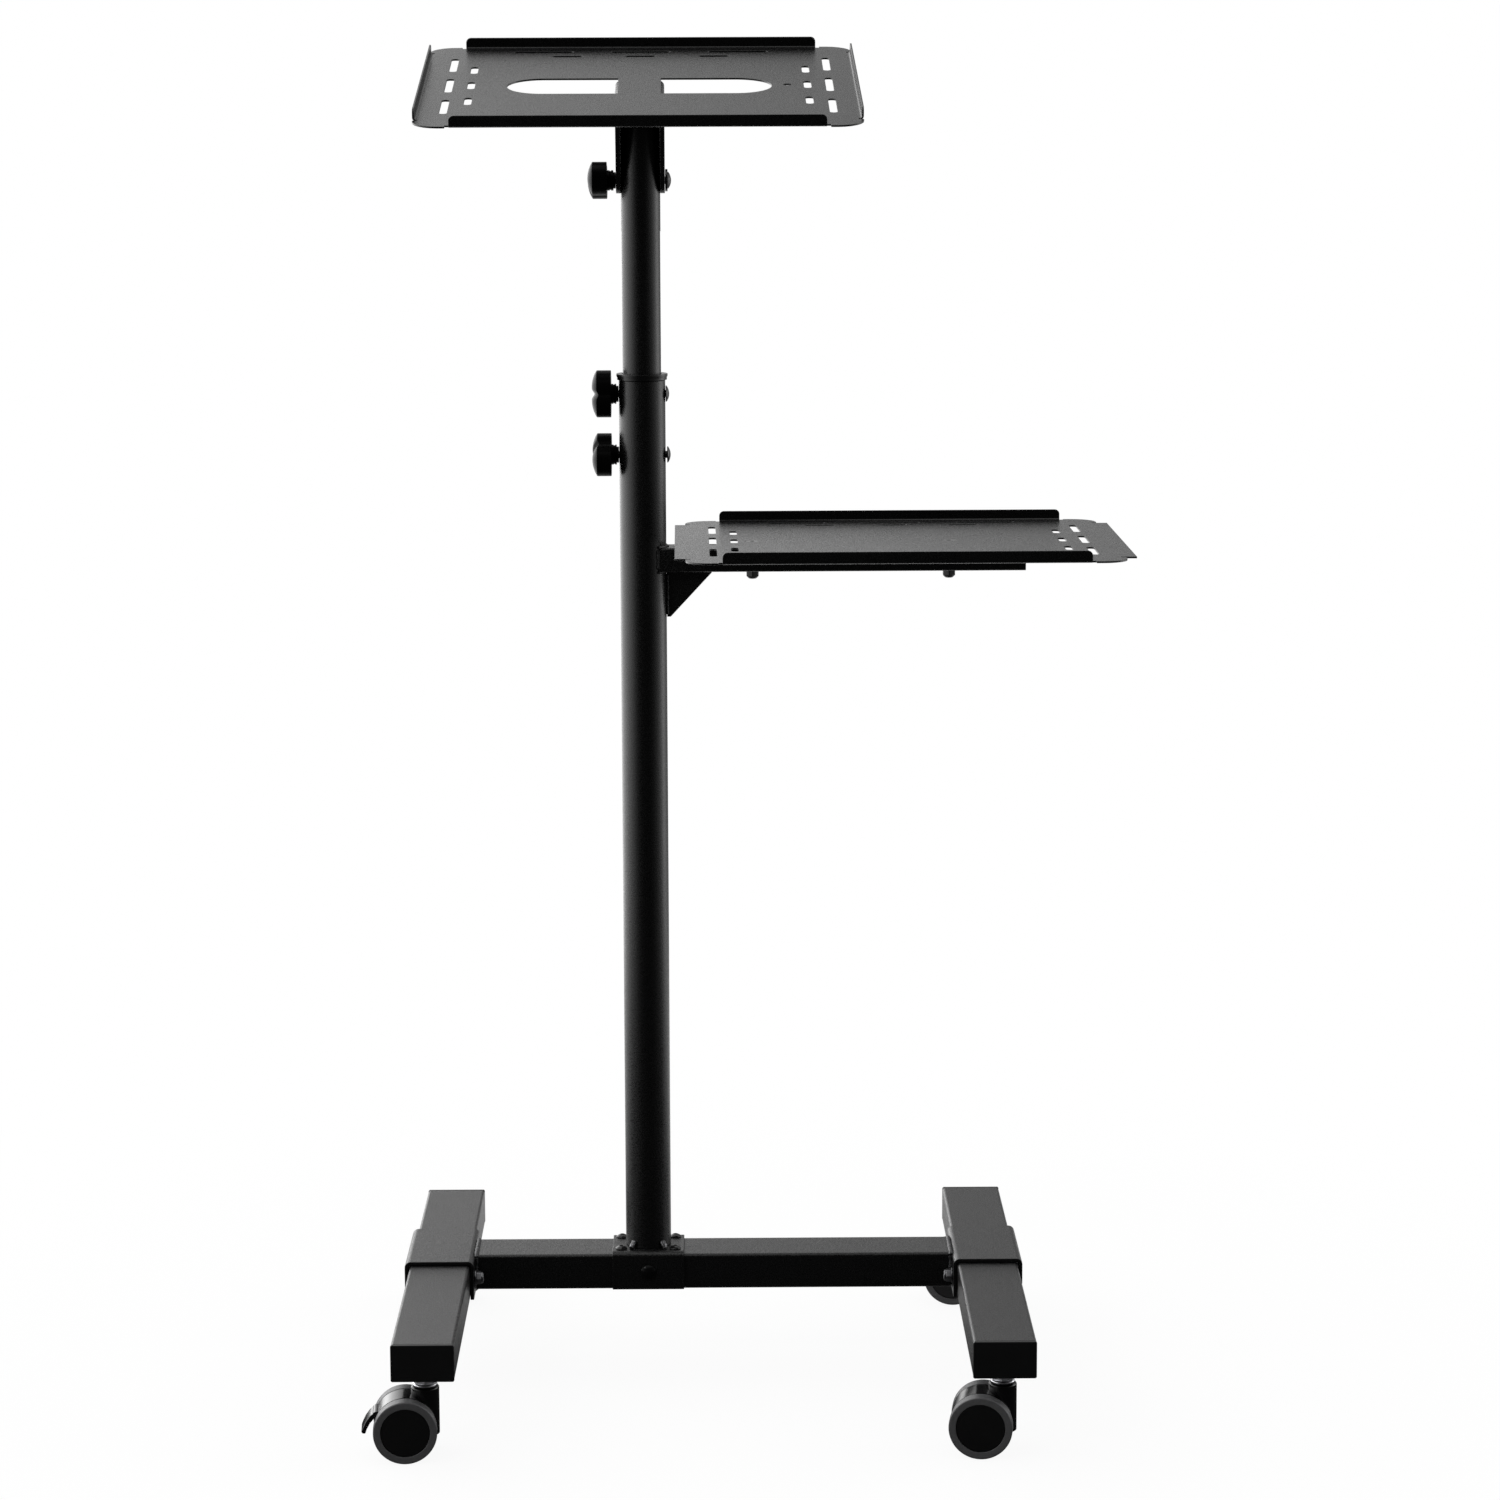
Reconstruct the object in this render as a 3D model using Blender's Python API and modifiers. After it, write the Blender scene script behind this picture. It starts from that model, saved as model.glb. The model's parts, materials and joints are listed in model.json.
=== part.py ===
"""Projector table: an H-shaped base on four twin-wheel castors, an off-centre
telescopic mast, a tilting top tray and a fixed level lower shelf.

Metres, +Z up, +X to the object's right, -Y towards its front.  The origin is on
the floor under the middle of the whole object's bounding box.
"""

import bpy
import bmesh
from math import atan2, cos, pi, radians, sin, sqrt
from mathutils import Matrix

# Fits
GAP = 0.0003
HOLE_FIT = 0.0003
SLIDE_FIT = 0.0005

# Place of the mast on the floor
MAST_X = -0.085099
MAST_Y = 0.023968

# Leg tubes, plugs
TUBE_WIDTH = 0.050
TUBE_HEIGHT = 0.030
TUBE_WALL = 0.002
TUBE_CORNER = 0.0026
TUBE_BOTTOM = 0.068
TUBE_TOP = TUBE_BOTTOM + TUBE_HEIGHT
LEFT_LEG_X = -0.1735
RIGHT_LEG_X = 0.2834
LEG_FRONT = -0.267
LEG_BACK = 0.1865
PLUG_FLANGE = 0.0028
PLUG_INSERT = 0.006

# Saddles over the legs
SADDLE_PLATE = 0.003
SADDLE_LENGTH = 0.100
SADDLE_BEND = 0.005
SADDLE_INNER_GAP = 0.0003
SADDLE_OUTER_GAP = 0.0013
SADDLE_OUTER_DROP = 0.022
SADDLE_INNER_DROP = 0.033
SADDLE_BOLT_Y = -0.038
SADDLE_BOLT_Z = 0.084
SADDLE_WASHER_RADIUS = 0.0062
SADDLE_WASHER = 0.0012
SADDLE_HEX_RADIUS = 0.0057
SADDLE_HEX = 0.0042
COLLAR_RADIUS = 0.0046
COLLAR = 0.0019

# Cross beam and mast foot
BEAM_TOP = 0.0995
FOOT_PLATE = 0.0025
FOOT_HALF_LENGTH = 0.030
FOOT_BEND = 0.0045
FOOT_DROP = 0.0325
FOOT_BOLT_MARGIN = 0.0074
FOOT_BOLT_X = FOOT_HALF_LENGTH - FOOT_BOLT_MARGIN
FOOT_BOLT_Y = TUBE_WIDTH / 2.0 - FOOT_BOLT_MARGIN
FRONT_BOLT_Z = 0.0845
FOOT_SHANK = 0.0025
FOOT_HEAD_RADIUS = 0.0049
FOOT_HEAD_HEIGHT = 0.0027
FOOT_SHANK_LENGTH = 0.014
FOOT_SOCKET_RADIUS = 0.0017
FOOT_SOCKET_DEPTH = 0.0013
FRONT_HEAD_HEIGHT = 0.0033
FRONT_SHANK_LENGTH = 0.009

# Mast
MAST_RADIUS = 0.019
MAST_WALL = 0.0015
MAST_TOP = 0.8314
BUSH_RADIUS = 0.021
BUSH_FLANGE = 0.005
BUSH_SLEEVE_LENGTH = 0.050
INNER_RADIUS = 0.016
INNER_WALL = 0.0015
INNER_BOTTOM = 0.600
INNER_TOP = 1.051
SLOT_FOOT = 0.022
SLOT_BOTTOM = INNER_BOTTOM + SLOT_FOOT
SLOT_TOP = 0.952
SLOT_HALF_WIDTH = 0.0036

# Through bolts and knobs
UPPER_CLAMP_Z = 0.8201
LOWER_CLAMP_Z = 0.7703
LOWER_CLAMP_STAND_OFF = 0.0009
TILT_Z = 0.993
BOLT_RADIUS = 0.003
BOLT_HEAD_RADIUS = 0.0067
BOLT_HEAD_HEIGHT = 0.0029
TILT_WASHER_RADIUS = 0.009
TILT_WASHER = 0.0019
BOLT_REACH = 0.0105
LOBE_RADIUS = 0.0135
LOBE_OFFSET = 0.0057
LOBE_DEPTH = 0.0127
LOBE_DOME = 0.0030
HUB_RADIUS = 0.0082
HUB_NECK_RADIUS = 0.0066
HUB_NECK = 0.0018
CLAMP_HUB = 0.0060
TILT_HUB = 0.0070
KNOB_BORE_DEPTH = 0.0115
UPPER_KNOB_TURN = 0.0
LOWER_KNOB_TURN = radians(-50.0)
TILT_KNOB_TURN = radians(74.0)

# Trays
SHEET = 0.0015
TRAY_HALF_WIDTH = 0.1753
TRAY_HALF_DEPTH = 0.150
LIP_HEIGHT = 0.0085
LIP_BEND = 0.0015
END_LIP_INSET = 0.0293
SIDE_LIP_INSET = 0.025
FLAP_INSET = 0.030
FLAP_REACH = 0.0087
END_LIP_HALF = TRAY_HALF_WIDTH - END_LIP_INSET
SIDE_LIP_HALF = TRAY_HALF_DEPTH - SIDE_LIP_INSET
FLAP_HALF = TRAY_HALF_DEPTH - FLAP_INSET
FLAP_OUT = TRAY_HALF_WIDTH + FLAP_REACH
LIP_CORNER = 0.004
NOTCH = 0.003
NOTCH_DEPTH = 0.001
TAB_CORNER = 0.020
TRAY_RISE = 0.078
TRAY_TILT = radians(11.5)
TRAY_TURN = radians(0.43)
SHELF_X = 0.2098
SHELF_Z = 0.6985
SLOT_WIDTH = 0.006
LONG_SLOT = 0.0505
SHORT_SLOT = 0.026
SIDE_ROW_MARGIN = 0.0226
SIDE_ROW_SPACING = 0.0176
END_ROW_MARGIN = 0.019
END_ROW_SPACING = 0.018
SIDE_OUTER_X = TRAY_HALF_WIDTH - SIDE_ROW_MARGIN
SIDE_INNER_X = SIDE_OUTER_X - SIDE_ROW_SPACING
END_OUTER_Y = TRAY_HALF_DEPTH - END_ROW_MARGIN
END_INNER_Y = END_OUTER_Y - END_ROW_SPACING
# pitch of the slots along each row, as shares of the half plate
SIDE_PITCH_SHARES = (0.527, 0.393)
END_PITCH_SHARES = (0.461, 0.346)
CUTOUT_INNER_X = 0.0173
CUTOUT_MARGIN = 0.0289
CUTOUT_OUTER_X = SIDE_INNER_X - CUTOUT_MARGIN
CUTOUT_RADIUS = 0.0288
CUTOUT_Y = -0.003
HOLE_MARGIN = 0.0161
HOLE_X = SIDE_INNER_X - HOLE_MARGIN
HOLE_RADIUS = 0.0035

# Tilt bracket under the top tray
BRACKET_PLATE = 0.0035
BRACKET_HALF_WIDTH = INNER_RADIUS + GAP + BRACKET_PLATE
BRACKET_BEND = 0.0045
BRACKET_TOP_HALF = 0.026
BRACKET_END_RADIUS = 0.0105

# Arm, gusset and bolts of the lower shelf
ARM_WIDTH = 0.030
ARM_HEIGHT = 0.020
ARM_WALL = 0.0015
ARM_CORNER = 0.002
ARM_START = 0.011
ARM_END = 0.314
SHELF_SPACER = 0.0023
SPACER_RADIUS = 0.009
GUSSET_PLATE = 0.004
GUSSET_REACH = 0.037
GUSSET_DROP = 0.038
GUSSET_TIP = 0.003
LEFT_SCREW_MARGIN = 0.0553
RIGHT_SCREW_MARGIN = 0.1335
SHELF_BOLT_LEFT = LEFT_SCREW_MARGIN - TRAY_HALF_WIDTH
SHELF_BOLT_RIGHT = TRAY_HALF_WIDTH - RIGHT_SCREW_MARGIN
CSK_RADIUS = 0.0057
NUT_RADIUS = 0.0058
NUT_HEIGHT = 0.005
NUT_END = 0.0035

# Castors
WHEEL_RADIUS = 0.0253
HUB_DISC_RADIUS = 0.0204
WHEEL_INNER_Y = 0.0124
WHEEL_OUTER_Y = 0.0240
SHOULDER = 0.0018
CASTOR_TRAIL = 0.016
AXLE_RADIUS = 0.003
AXLE_HALF = 0.0211
BARREL_RADIUS = 0.0112
BARREL_TOP = 0.0574
BARREL_BOTTOM = 0.018
BARREL_CHAMFER = 0.0018
FENDER_RADIUS = 0.0252
FENDER_HALF = 0.0120
STEM_RADIUS = 0.005
STEM_TOP = 0.084
STEM_FOOT = 0.034
STEM_NUT_RADIUS = 0.0099
STEM_NUT_HEIGHT = 0.0068
STEM_WASHER_RADIUS = 0.0105
STEM_WASHER = 0.0016
FRONT_STEM_Y = -0.2400
REAR_STEM_Y = 0.1720
LEVER_X = -0.0385
LEVER_Z = 0.0360
LEVER_BARREL = 0.0033
LEVER_SEAT = 0.0039
LEVER_HALF = 0.0100
LEVER_REACH = 0.0122
LEVER_DROP = 0.0148
FRONT_LEFT_TURN = radians(3.5)
FRONT_RIGHT_TURN = radians(-7.0)
REAR_LEFT_TURN = radians(-50.0)
REAR_RIGHT_TURN = radians(-4.0)

# Fineness of round forms
TUBE_SIDES = 28
WHEEL_SIDES = 20
KNOB_SIDES = 12
BOLT_SIDES = 12
BARREL_SIDES = 18
HOLE_SIDES = 10
CORNER_STEPS = 3
TUBE_STEPS = 4
MERGE = 0.00001

ALONG_X = (0.0, radians(90.0), 0.0)
ALONG_MINUS_X = (0.0, radians(-90.0), 0.0)
ALONG_MINUS_Y = (radians(90.0), 0.0, 0.0)
ALONG_Y = (radians(-90.0), 0.0, 0.0)
UPRIGHT = (0.0, 0.0, 0.0)


# Scene, collections, materials
for old in list(bpy.data.objects):
    bpy.data.objects.remove(old, do_unlink=True)

PARTS = bpy.data.collections.new("projector_table")
CUTTERS = bpy.data.collections.new("cutters")
bpy.context.scene.collection.children.link(PARTS)
bpy.context.scene.collection.children.link(CUTTERS)


def material(name, colour, roughness, metallic):
    mat = bpy.data.materials.new(name)
    mat.use_nodes = True
    shader = mat.node_tree.nodes["Principled BSDF"]
    shader.inputs["Base Color"].default_value = (*colour, 1.0)
    shader.inputs["Roughness"].default_value = roughness
    shader.inputs["Metallic"].default_value = metallic
    mat.diffuse_color = (*colour, 1.0)
    return mat


POWDER = material("black_powder_coat", (0.022, 0.022, 0.024), 0.5, 0.0)
TUBE_COAT = material("mast_powder_coat", (0.020, 0.020, 0.022), 0.42, 0.0)
PLASTIC = material("black_plastic", (0.012, 0.012, 0.013), 0.38, 0.0)
ZINC = material("zinc_plate", (0.62, 0.62, 0.64), 0.3, 1.0)
BLACK_STEEL = material("black_steel", (0.03, 0.03, 0.032), 0.35, 0.8)
TYRE = material("grey_tyre", (0.15, 0.15, 0.155), 0.7, 0.0)


# Helpers
def place(obj, parent, location, rotation, collection):
    collection.objects.link(obj)
    obj.parent = parent
    obj.location = location
    obj.rotation_euler = rotation
    return obj


def hide_tool(obj):
    obj.hide_render = True
    obj.display_type = "WIRE"
    return obj


def empty(name, parent, location, rotation):
    obj = bpy.data.objects.new(name, None)
    return place(obj, parent, location, rotation, PARTS)


def smooth(mesh):
    mesh.shade_smooth()
    mesh.set_sharp_from_angle(angle=radians(35.0))


def add(name, mesh, mat, parent, location=(0.0, 0.0, 0.0), rotation=UPRIGHT):
    mesh.materials.clear()
    mesh.materials.append(mat)
    obj = bpy.data.objects.new(name, mesh)
    return place(obj, parent, location, rotation, PARTS)


def tool(name, mesh, parent, location=(0.0, 0.0, 0.0), rotation=UPRIGHT):
    obj = bpy.data.objects.new(name, mesh)
    return hide_tool(place(obj, parent, location, rotation, CUTTERS))


def boolean(obj, other, operation):
    mod = obj.modifiers.new(operation.title(), "BOOLEAN")
    mod.operation = operation
    mod.solver = "EXACT"
    mod.object = other


def cylinder_mesh(name, radius, length, sides):
    bm = bmesh.new()
    bmesh.ops.create_cone(bm, cap_ends=True, segments=sides, radius1=radius, radius2=radius, depth=length)
    mesh = bpy.data.meshes.new(name)
    bm.to_mesh(mesh)
    bm.free()
    smooth(mesh)
    return mesh


def turned(obj, sides):
    mod = obj.modifiers.new("Turn", "SCREW")
    mod.angle = 2.0 * pi
    mod.steps = sides
    mod.render_steps = sides
    mod.use_merge_vertices = True
    mod.merge_threshold = MERGE
    mod.use_smooth_shade = True
    return obj


def profile_mesh(name, points, closed):
    """A line of (radius, height) points, outer side running from top to bottom."""
    bm = bmesh.new()
    verts = [bm.verts.new((radius, 0.0, height)) for radius, height in points]
    for first, second in zip(verts, verts[1:]):
        bm.edges.new((first, second))
    if closed:
        bm.edges.new((verts[-1], verts[0]))
    mesh = bpy.data.meshes.new(name)
    bm.to_mesh(mesh)
    bm.free()
    return mesh


def prism_mesh(name, outlines, thickness, frame=None):
    """Flat outlines in local X, Y given a thickness along Z, centred on Z = 0."""
    curve = bpy.data.curves.new(name, "CURVE")
    curve.dimensions = "2D"
    curve.fill_mode = "BOTH"
    curve.extrude = thickness / 2.0
    for outline in outlines:
        spline = curve.splines.new("POLY")
        spline.points.add(len(outline) - 1)
        for point, (x, y) in zip(spline.points, outline):
            point.co = (x, y, 0.0, 1.0)
        spline.use_cyclic_u = True
    holder = bpy.data.objects.new(name, curve)
    CUTTERS.objects.link(holder)
    graph = bpy.context.evaluated_depsgraph_get()
    mesh = bpy.data.meshes.new_from_object(holder.evaluated_get(graph))
    bpy.data.objects.remove(holder, do_unlink=True)
    bm = bmesh.new()
    bm.from_mesh(mesh)
    bmesh.ops.remove_doubles(bm, verts=bm.verts, dist=MERGE)
    if frame is not None:
        bmesh.ops.transform(bm, matrix=frame, verts=bm.verts)
    bmesh.ops.recalc_face_normals(bm, faces=bm.faces)
    bm.to_mesh(mesh)
    bm.free()
    smooth(mesh)
    return mesh


# local X, Y of an outline become the part's X, Z or Y, Z
FACE_XZ = Matrix.Rotation(radians(90.0), 4, "X")
FACE_YZ = Matrix.Rotation(radians(90.0), 4, "Z") @ Matrix.Rotation(radians(90.0), 4, "X")


def arc(cx, cy, radius, start, end, steps):
    angles = [start + (end - start) * i / steps for i in range(steps + 1)]
    return [(cx + radius * cos(a), cy + radius * sin(a)) for a in angles]


def rounded_box(half_x, half_y, radius, steps):
    right = half_x - radius
    top = half_y - radius
    points = []
    for sx, sy, turn in ((1, 1, 0.0), (-1, 1, pi / 2), (-1, -1, pi), (1, -1, 1.5 * pi)):
        points += arc(sx * right, sy * top, radius, turn, turn + pi / 2, steps)
    return points


def stadium(cx, cy, half_x, half_y):
    """A slot with round ends along its longer side."""
    radius = min(half_x, half_y)
    reach_x = half_x - radius
    reach_y = half_y - radius
    if half_x > half_y:
        ends = arc(cx + reach_x, cy, radius, -pi / 2, pi / 2, CORNER_STEPS)
        return ends + arc(cx - reach_x, cy, radius, pi / 2, 1.5 * pi, CORNER_STEPS)
    ends = arc(cx, cy + reach_y, radius, 0.0, pi, CORNER_STEPS)
    return ends + arc(cx, cy - reach_y, radius, pi, 2.0 * pi, CORNER_STEPS)


def dome(radius, height, steps, base=0.0):
    """Points of a shallow cap from its top on the axis down to its rim."""
    sphere = (radius * radius + height * height) / (2.0 * height)
    points = []
    for i in range(steps + 1):
        r = radius * i / steps
        points.append((r, base + height - sphere + sqrt(sphere * sphere - r * r)))
    return points


def drill(obj, name, radius, length, parent, location, rotation):
    cutter = tool(name, cylinder_mesh(name, radius, length, HOLE_SIDES), parent, location, rotation)
    boolean(obj, cutter, "DIFFERENCE")


# Frame of the whole table
FRAME = empty("table_frame", None, (MAST_X, MAST_Y, 0.0), UPRIGHT)
HALF_TUBE = TUBE_WIDTH / 2.0
HALF_HEIGHT = TUBE_HEIGHT / 2.0
LEG_MIDDLE = TUBE_BOTTOM + HALF_HEIGHT
BEAM_MIDDLE = BEAM_TOP - HALF_HEIGHT
INNER_FACE = HALF_TUBE + SADDLE_INNER_GAP + SADDLE_PLATE
OUTER_FACE = HALF_TUBE + SADDLE_OUTER_GAP + SADDLE_PLATE
SADDLE_TOP = TUBE_TOP + GAP + SADDLE_PLATE
DRILL_LONG = 4.0 * TUBE_WALL


def tube_outlines():
    outer = rounded_box(HALF_TUBE, HALF_HEIGHT, TUBE_CORNER, TUBE_STEPS)
    inner = rounded_box(HALF_TUBE - TUBE_WALL, HALF_HEIGHT - TUBE_WALL, TUBE_CORNER - TUBE_WALL, TUBE_STEPS)
    return [outer, inner]


def leg(name, x, inward):
    tube_front = LEG_FRONT + PLUG_FLANGE + GAP
    tube_back = LEG_BACK - PLUG_FLANGE - GAP
    middle = (tube_front + tube_back) / 2.0
    mesh = prism_mesh(name, tube_outlines(), tube_back - tube_front, FACE_XZ)
    obj = add(name, mesh, POWDER, FRAME, (x, middle, LEG_MIDDLE))
    stem_hole = STEM_RADIUS + HOLE_FIT
    for tag, y in (("front", FRONT_STEM_Y), ("rear", REAR_STEM_Y)):
        spot = (x, y, TUBE_BOTTOM + TUBE_WALL / 2.0)
        drill(obj, name + "_" + tag + "_stem_hole", stem_hole, DRILL_LONG, FRAME, spot, UPRIGHT)
    side = (x + inward * (HALF_TUBE - TUBE_WALL / 2.0), SADDLE_BOLT_Y, SADDLE_BOLT_Z)
    drill(obj, name + "_bolt_hole", BOLT_RADIUS + HOLE_FIT, DRILL_LONG, FRAME, side, ALONG_X)
    return obj


def plug_mesh(name):
    """A ribbed plug's flange and insert, the flange facing local +Z."""
    flange = rounded_box(HALF_TUBE, HALF_HEIGHT, TUBE_CORNER, CORNER_STEPS)
    return prism_mesh(name, [flange], PLUG_FLANGE, Matrix.Translation((0.0, 0.0, PLUG_FLANGE / 2.0)))


def plug_insert_mesh(name):
    fit = TUBE_WALL + GAP
    insert = rounded_box(HALF_TUBE - fit, HALF_HEIGHT - fit, TUBE_CORNER - TUBE_WALL, CORNER_STEPS)
    length = PLUG_INSERT + PLUG_FLANGE / 2.0
    return prism_mesh(name, [insert], length, Matrix.Translation((0.0, 0.0, PLUG_FLANGE / 2.0 - length / 2.0)))


def leg_plug(name, x, y, rotation):
    obj = add(name, plug_mesh(name), PLASTIC, FRAME, (x, y, LEG_MIDDLE), rotation)
    insert = tool(name + "_insert", plug_insert_mesh(name + "_insert"), FRAME, (x, y, LEG_MIDDLE), rotation)
    boolean(obj, insert, "UNION")
    return obj


def channel(left, right, top, plate, bend, left_drop, right_drop):
    """Outline of a bent plate: a top with a flange down each side."""
    inner = bend - plate
    points = [(left, top - left_drop)]
    points += arc(left + bend, top - bend, bend, pi, pi / 2, CORNER_STEPS)
    points += arc(right - bend, top - bend, bend, pi / 2, 0.0, CORNER_STEPS)
    points += [(right, top - right_drop), (right - plate, top - right_drop)]
    points += arc(right - bend, top - bend, inner, 0.0, pi / 2, CORNER_STEPS)
    points += arc(left + bend, top - bend, inner, pi / 2, pi, CORNER_STEPS)
    points += [(left + plate, top - left_drop)]
    return points


def saddle(name, x, inward):
    if inward > 0:
        left, right = -OUTER_FACE, INNER_FACE
        left_drop, right_drop = SADDLE_OUTER_DROP, SADDLE_INNER_DROP
    else:
        left, right = -INNER_FACE, OUTER_FACE
        left_drop, right_drop = SADDLE_INNER_DROP, SADDLE_OUTER_DROP
    outline = channel(left, right, SADDLE_TOP, SADDLE_PLATE, SADDLE_BEND, left_drop, right_drop)
    mesh = prism_mesh(name, [outline], SADDLE_LENGTH, FACE_XZ)
    obj = add(name, mesh, POWDER, FRAME, (x, 0.0, 0.0))
    spot = (x + inward * (INNER_FACE - SADDLE_PLATE / 2.0), SADDLE_BOLT_Y, SADDLE_BOLT_Z)
    drill(obj, name + "_bolt_hole", BOLT_RADIUS + HOLE_FIT, DRILL_LONG, FRAME, spot, ALONG_X)
    return obj


def saddle_bolt(name, x, inward):
    """Washer and collar nut on the saddle's inner flange, with its thread."""
    base = SADDLE_WASHER + SADDLE_HEX
    inside = SADDLE_PLATE + SADDLE_INNER_GAP + 2.0 * TUBE_WALL
    points = [(0.0, base + COLLAR), (COLLAR_RADIUS - 2.0 * HOLE_FIT, base + COLLAR)]
    points += [(COLLAR_RADIUS, base + COLLAR - 2.0 * HOLE_FIT), (COLLAR_RADIUS, SADDLE_WASHER)]
    points += [(SADDLE_WASHER_RADIUS, SADDLE_WASHER), (SADDLE_WASHER_RADIUS, 0.0)]
    points += [(BOLT_RADIUS, 0.0), (BOLT_RADIUS, -inside), (0.0, -inside)]
    rotation = ALONG_X if inward > 0 else ALONG_MINUS_X
    spot = (x + inward * (INNER_FACE + GAP), SADDLE_BOLT_Y, SADDLE_BOLT_Z)
    obj = turned(add(name, profile_mesh(name, points, False), ZINC, FRAME, spot, rotation), BOLT_SIDES)
    nut_spot = (spot[0] + inward * (SADDLE_WASHER + SADDLE_HEX / 2.0 - HOLE_FIT), spot[1], spot[2])
    nut = tool(name + "_nut", cylinder_mesh(name + "_nut", SADDLE_HEX_RADIUS, SADDLE_HEX, 6), FRAME, nut_spot, rotation)
    boolean(obj, nut, "UNION")
    return obj


def cross_beam():
    left = LEFT_LEG_X + INNER_FACE + GAP
    right = RIGHT_LEG_X - INNER_FACE - GAP
    frame = FACE_YZ
    mesh = prism_mesh("cross_beam", tube_outlines(), right - left, frame)
    obj = add("cross_beam", mesh, POWDER, FRAME, ((left + right) / 2.0, 0.0, BEAM_MIDDLE))
    for i, (sx, sy) in enumerate(((-1, -1), (1, -1), (-1, 1), (1, 1))):
        spot = (sx * FOOT_BOLT_X, sy * FOOT_BOLT_Y, BEAM_TOP - TUBE_WALL / 2.0)
        drill(obj, "beam_top_hole_%d" % i, FOOT_SHANK + HOLE_FIT, DRILL_LONG, FRAME, spot, UPRIGHT)
    front = (0.0, TUBE_WALL / 2.0 - HALF_TUBE, FRONT_BOLT_Z)
    drill(obj, "beam_front_hole", BOLT_RADIUS + HOLE_FIT, DRILL_LONG, FRAME, front, ALONG_MINUS_Y)
    return obj


FOOT_SIDE = HALF_TUBE + GAP + FOOT_PLATE
FOOT_TOP = BEAM_TOP + GAP + FOOT_PLATE


def mast_foot():
    outline = channel(-FOOT_SIDE, FOOT_SIDE, FOOT_TOP, FOOT_PLATE, FOOT_BEND, FOOT_DROP, FOOT_DROP)
    mesh = prism_mesh("mast_foot", [outline], 2.0 * FOOT_HALF_LENGTH, FACE_YZ)
    obj = add("mast_foot", mesh, POWDER, FRAME)
    for i, (sx, sy) in enumerate(((-1, -1), (1, -1), (-1, 1), (1, 1))):
        spot = (sx * FOOT_BOLT_X, sy * FOOT_BOLT_Y, FOOT_TOP - FOOT_PLATE / 2.0)
        drill(obj, "foot_top_hole_%d" % i, FOOT_SHANK + HOLE_FIT, DRILL_LONG, FRAME, spot, UPRIGHT)
    front = (0.0, FOOT_PLATE / 2.0 - FOOT_SIDE, FRONT_BOLT_Z)
    drill(obj, "foot_front_hole", BOLT_RADIUS + HOLE_FIT, DRILL_LONG, FRAME, front, ALONG_MINUS_Y)
    return obj


def domed_bolt(name, head_radius, head_height, shank, length, mat, parent, location, rotation, washer=None):
    """A domed head facing local +Z on a round shank; a washer can lie under it."""
    base = 0.0
    under = [(shank, 0.0)]
    if washer:
        base = washer[1]
        under = [(washer[0], washer[1]), (washer[0], 0.0), (shank, 0.0)]
    rim = head_height / 4.0
    points = dome(head_radius, head_height - rim, 3, base + rim)
    points += [(head_radius, base)]
    points += under
    points += [(shank, -length), (0.0, -length)]
    return turned(add(name, profile_mesh(name, points, False), mat, parent, location, rotation), BOLT_SIDES)


def foot_bolts():
    for i, (sx, sy) in enumerate(((-1, -1), (1, -1), (-1, 1), (1, 1))):
        name = "foot_bolt_%d" % (i + 1)
        spot = (sx * FOOT_BOLT_X, sy * FOOT_BOLT_Y, FOOT_TOP + GAP)
        obj = domed_bolt(name, FOOT_HEAD_RADIUS, FOOT_HEAD_HEIGHT, FOOT_SHANK, FOOT_SHANK_LENGTH,
                         BLACK_STEEL, FRAME, spot, UPRIGHT)
        top = (spot[0], spot[1], spot[2] + FOOT_HEAD_HEIGHT)
        socket = cylinder_mesh(name + "_socket", FOOT_SOCKET_RADIUS, 2.0 * FOOT_SOCKET_DEPTH, 6)
        boolean(obj, tool(name + "_socket", socket, FRAME, top), "DIFFERENCE")


def front_bolt():
    spot = (0.0, -FOOT_SIDE - GAP, FRONT_BOLT_Z)
    domed_bolt("foot_front_bolt", BOLT_HEAD_RADIUS, FRONT_HEAD_HEIGHT, BOLT_RADIUS, FRONT_SHANK_LENGTH,
               BLACK_STEEL, FRAME, spot, ALONG_MINUS_Y)


# Mast
THROUGH = 2.5 * MAST_RADIUS


def ring(radius, wall, bottom, top):
    return [(radius, top), (radius, bottom), (radius - wall, bottom), (radius - wall, top)]


def outer_mast():
    points = ring(MAST_RADIUS, MAST_WALL, FOOT_TOP + GAP, MAST_TOP)
    obj = turned(add("outer_mast", profile_mesh("outer_mast", points, True), TUBE_COAT, FRAME), TUBE_SIDES)
    for tag, z in (("upper", UPPER_CLAMP_Z), ("lower", LOWER_CLAMP_Z)):
        name = "mast_" + tag + "_hole"
        drill(obj, name, BOLT_RADIUS + HOLE_FIT, THROUGH, FRAME, (0.0, 0.0, z), ALONG_X)


def mast_bush():
    top = MAST_TOP + GAP + BUSH_FLANGE
    under = MAST_TOP + GAP
    sleeve = MAST_RADIUS - MAST_WALL - GAP
    bore = INNER_RADIUS + SLIDE_FIT
    end = MAST_TOP - BUSH_SLEEVE_LENGTH
    points = [(BUSH_RADIUS, top), (BUSH_RADIUS, under), (sleeve, under), (sleeve, end), (bore, end), (bore, top)]
    obj = turned(add("mast_bush", profile_mesh("mast_bush", points, True), PLASTIC, FRAME), TUBE_SIDES)
    drill(obj, "bush_hole", BOLT_RADIUS + SLIDE_FIT, THROUGH, FRAME, (0.0, 0.0, UPPER_CLAMP_Z), ALONG_X)


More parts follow.
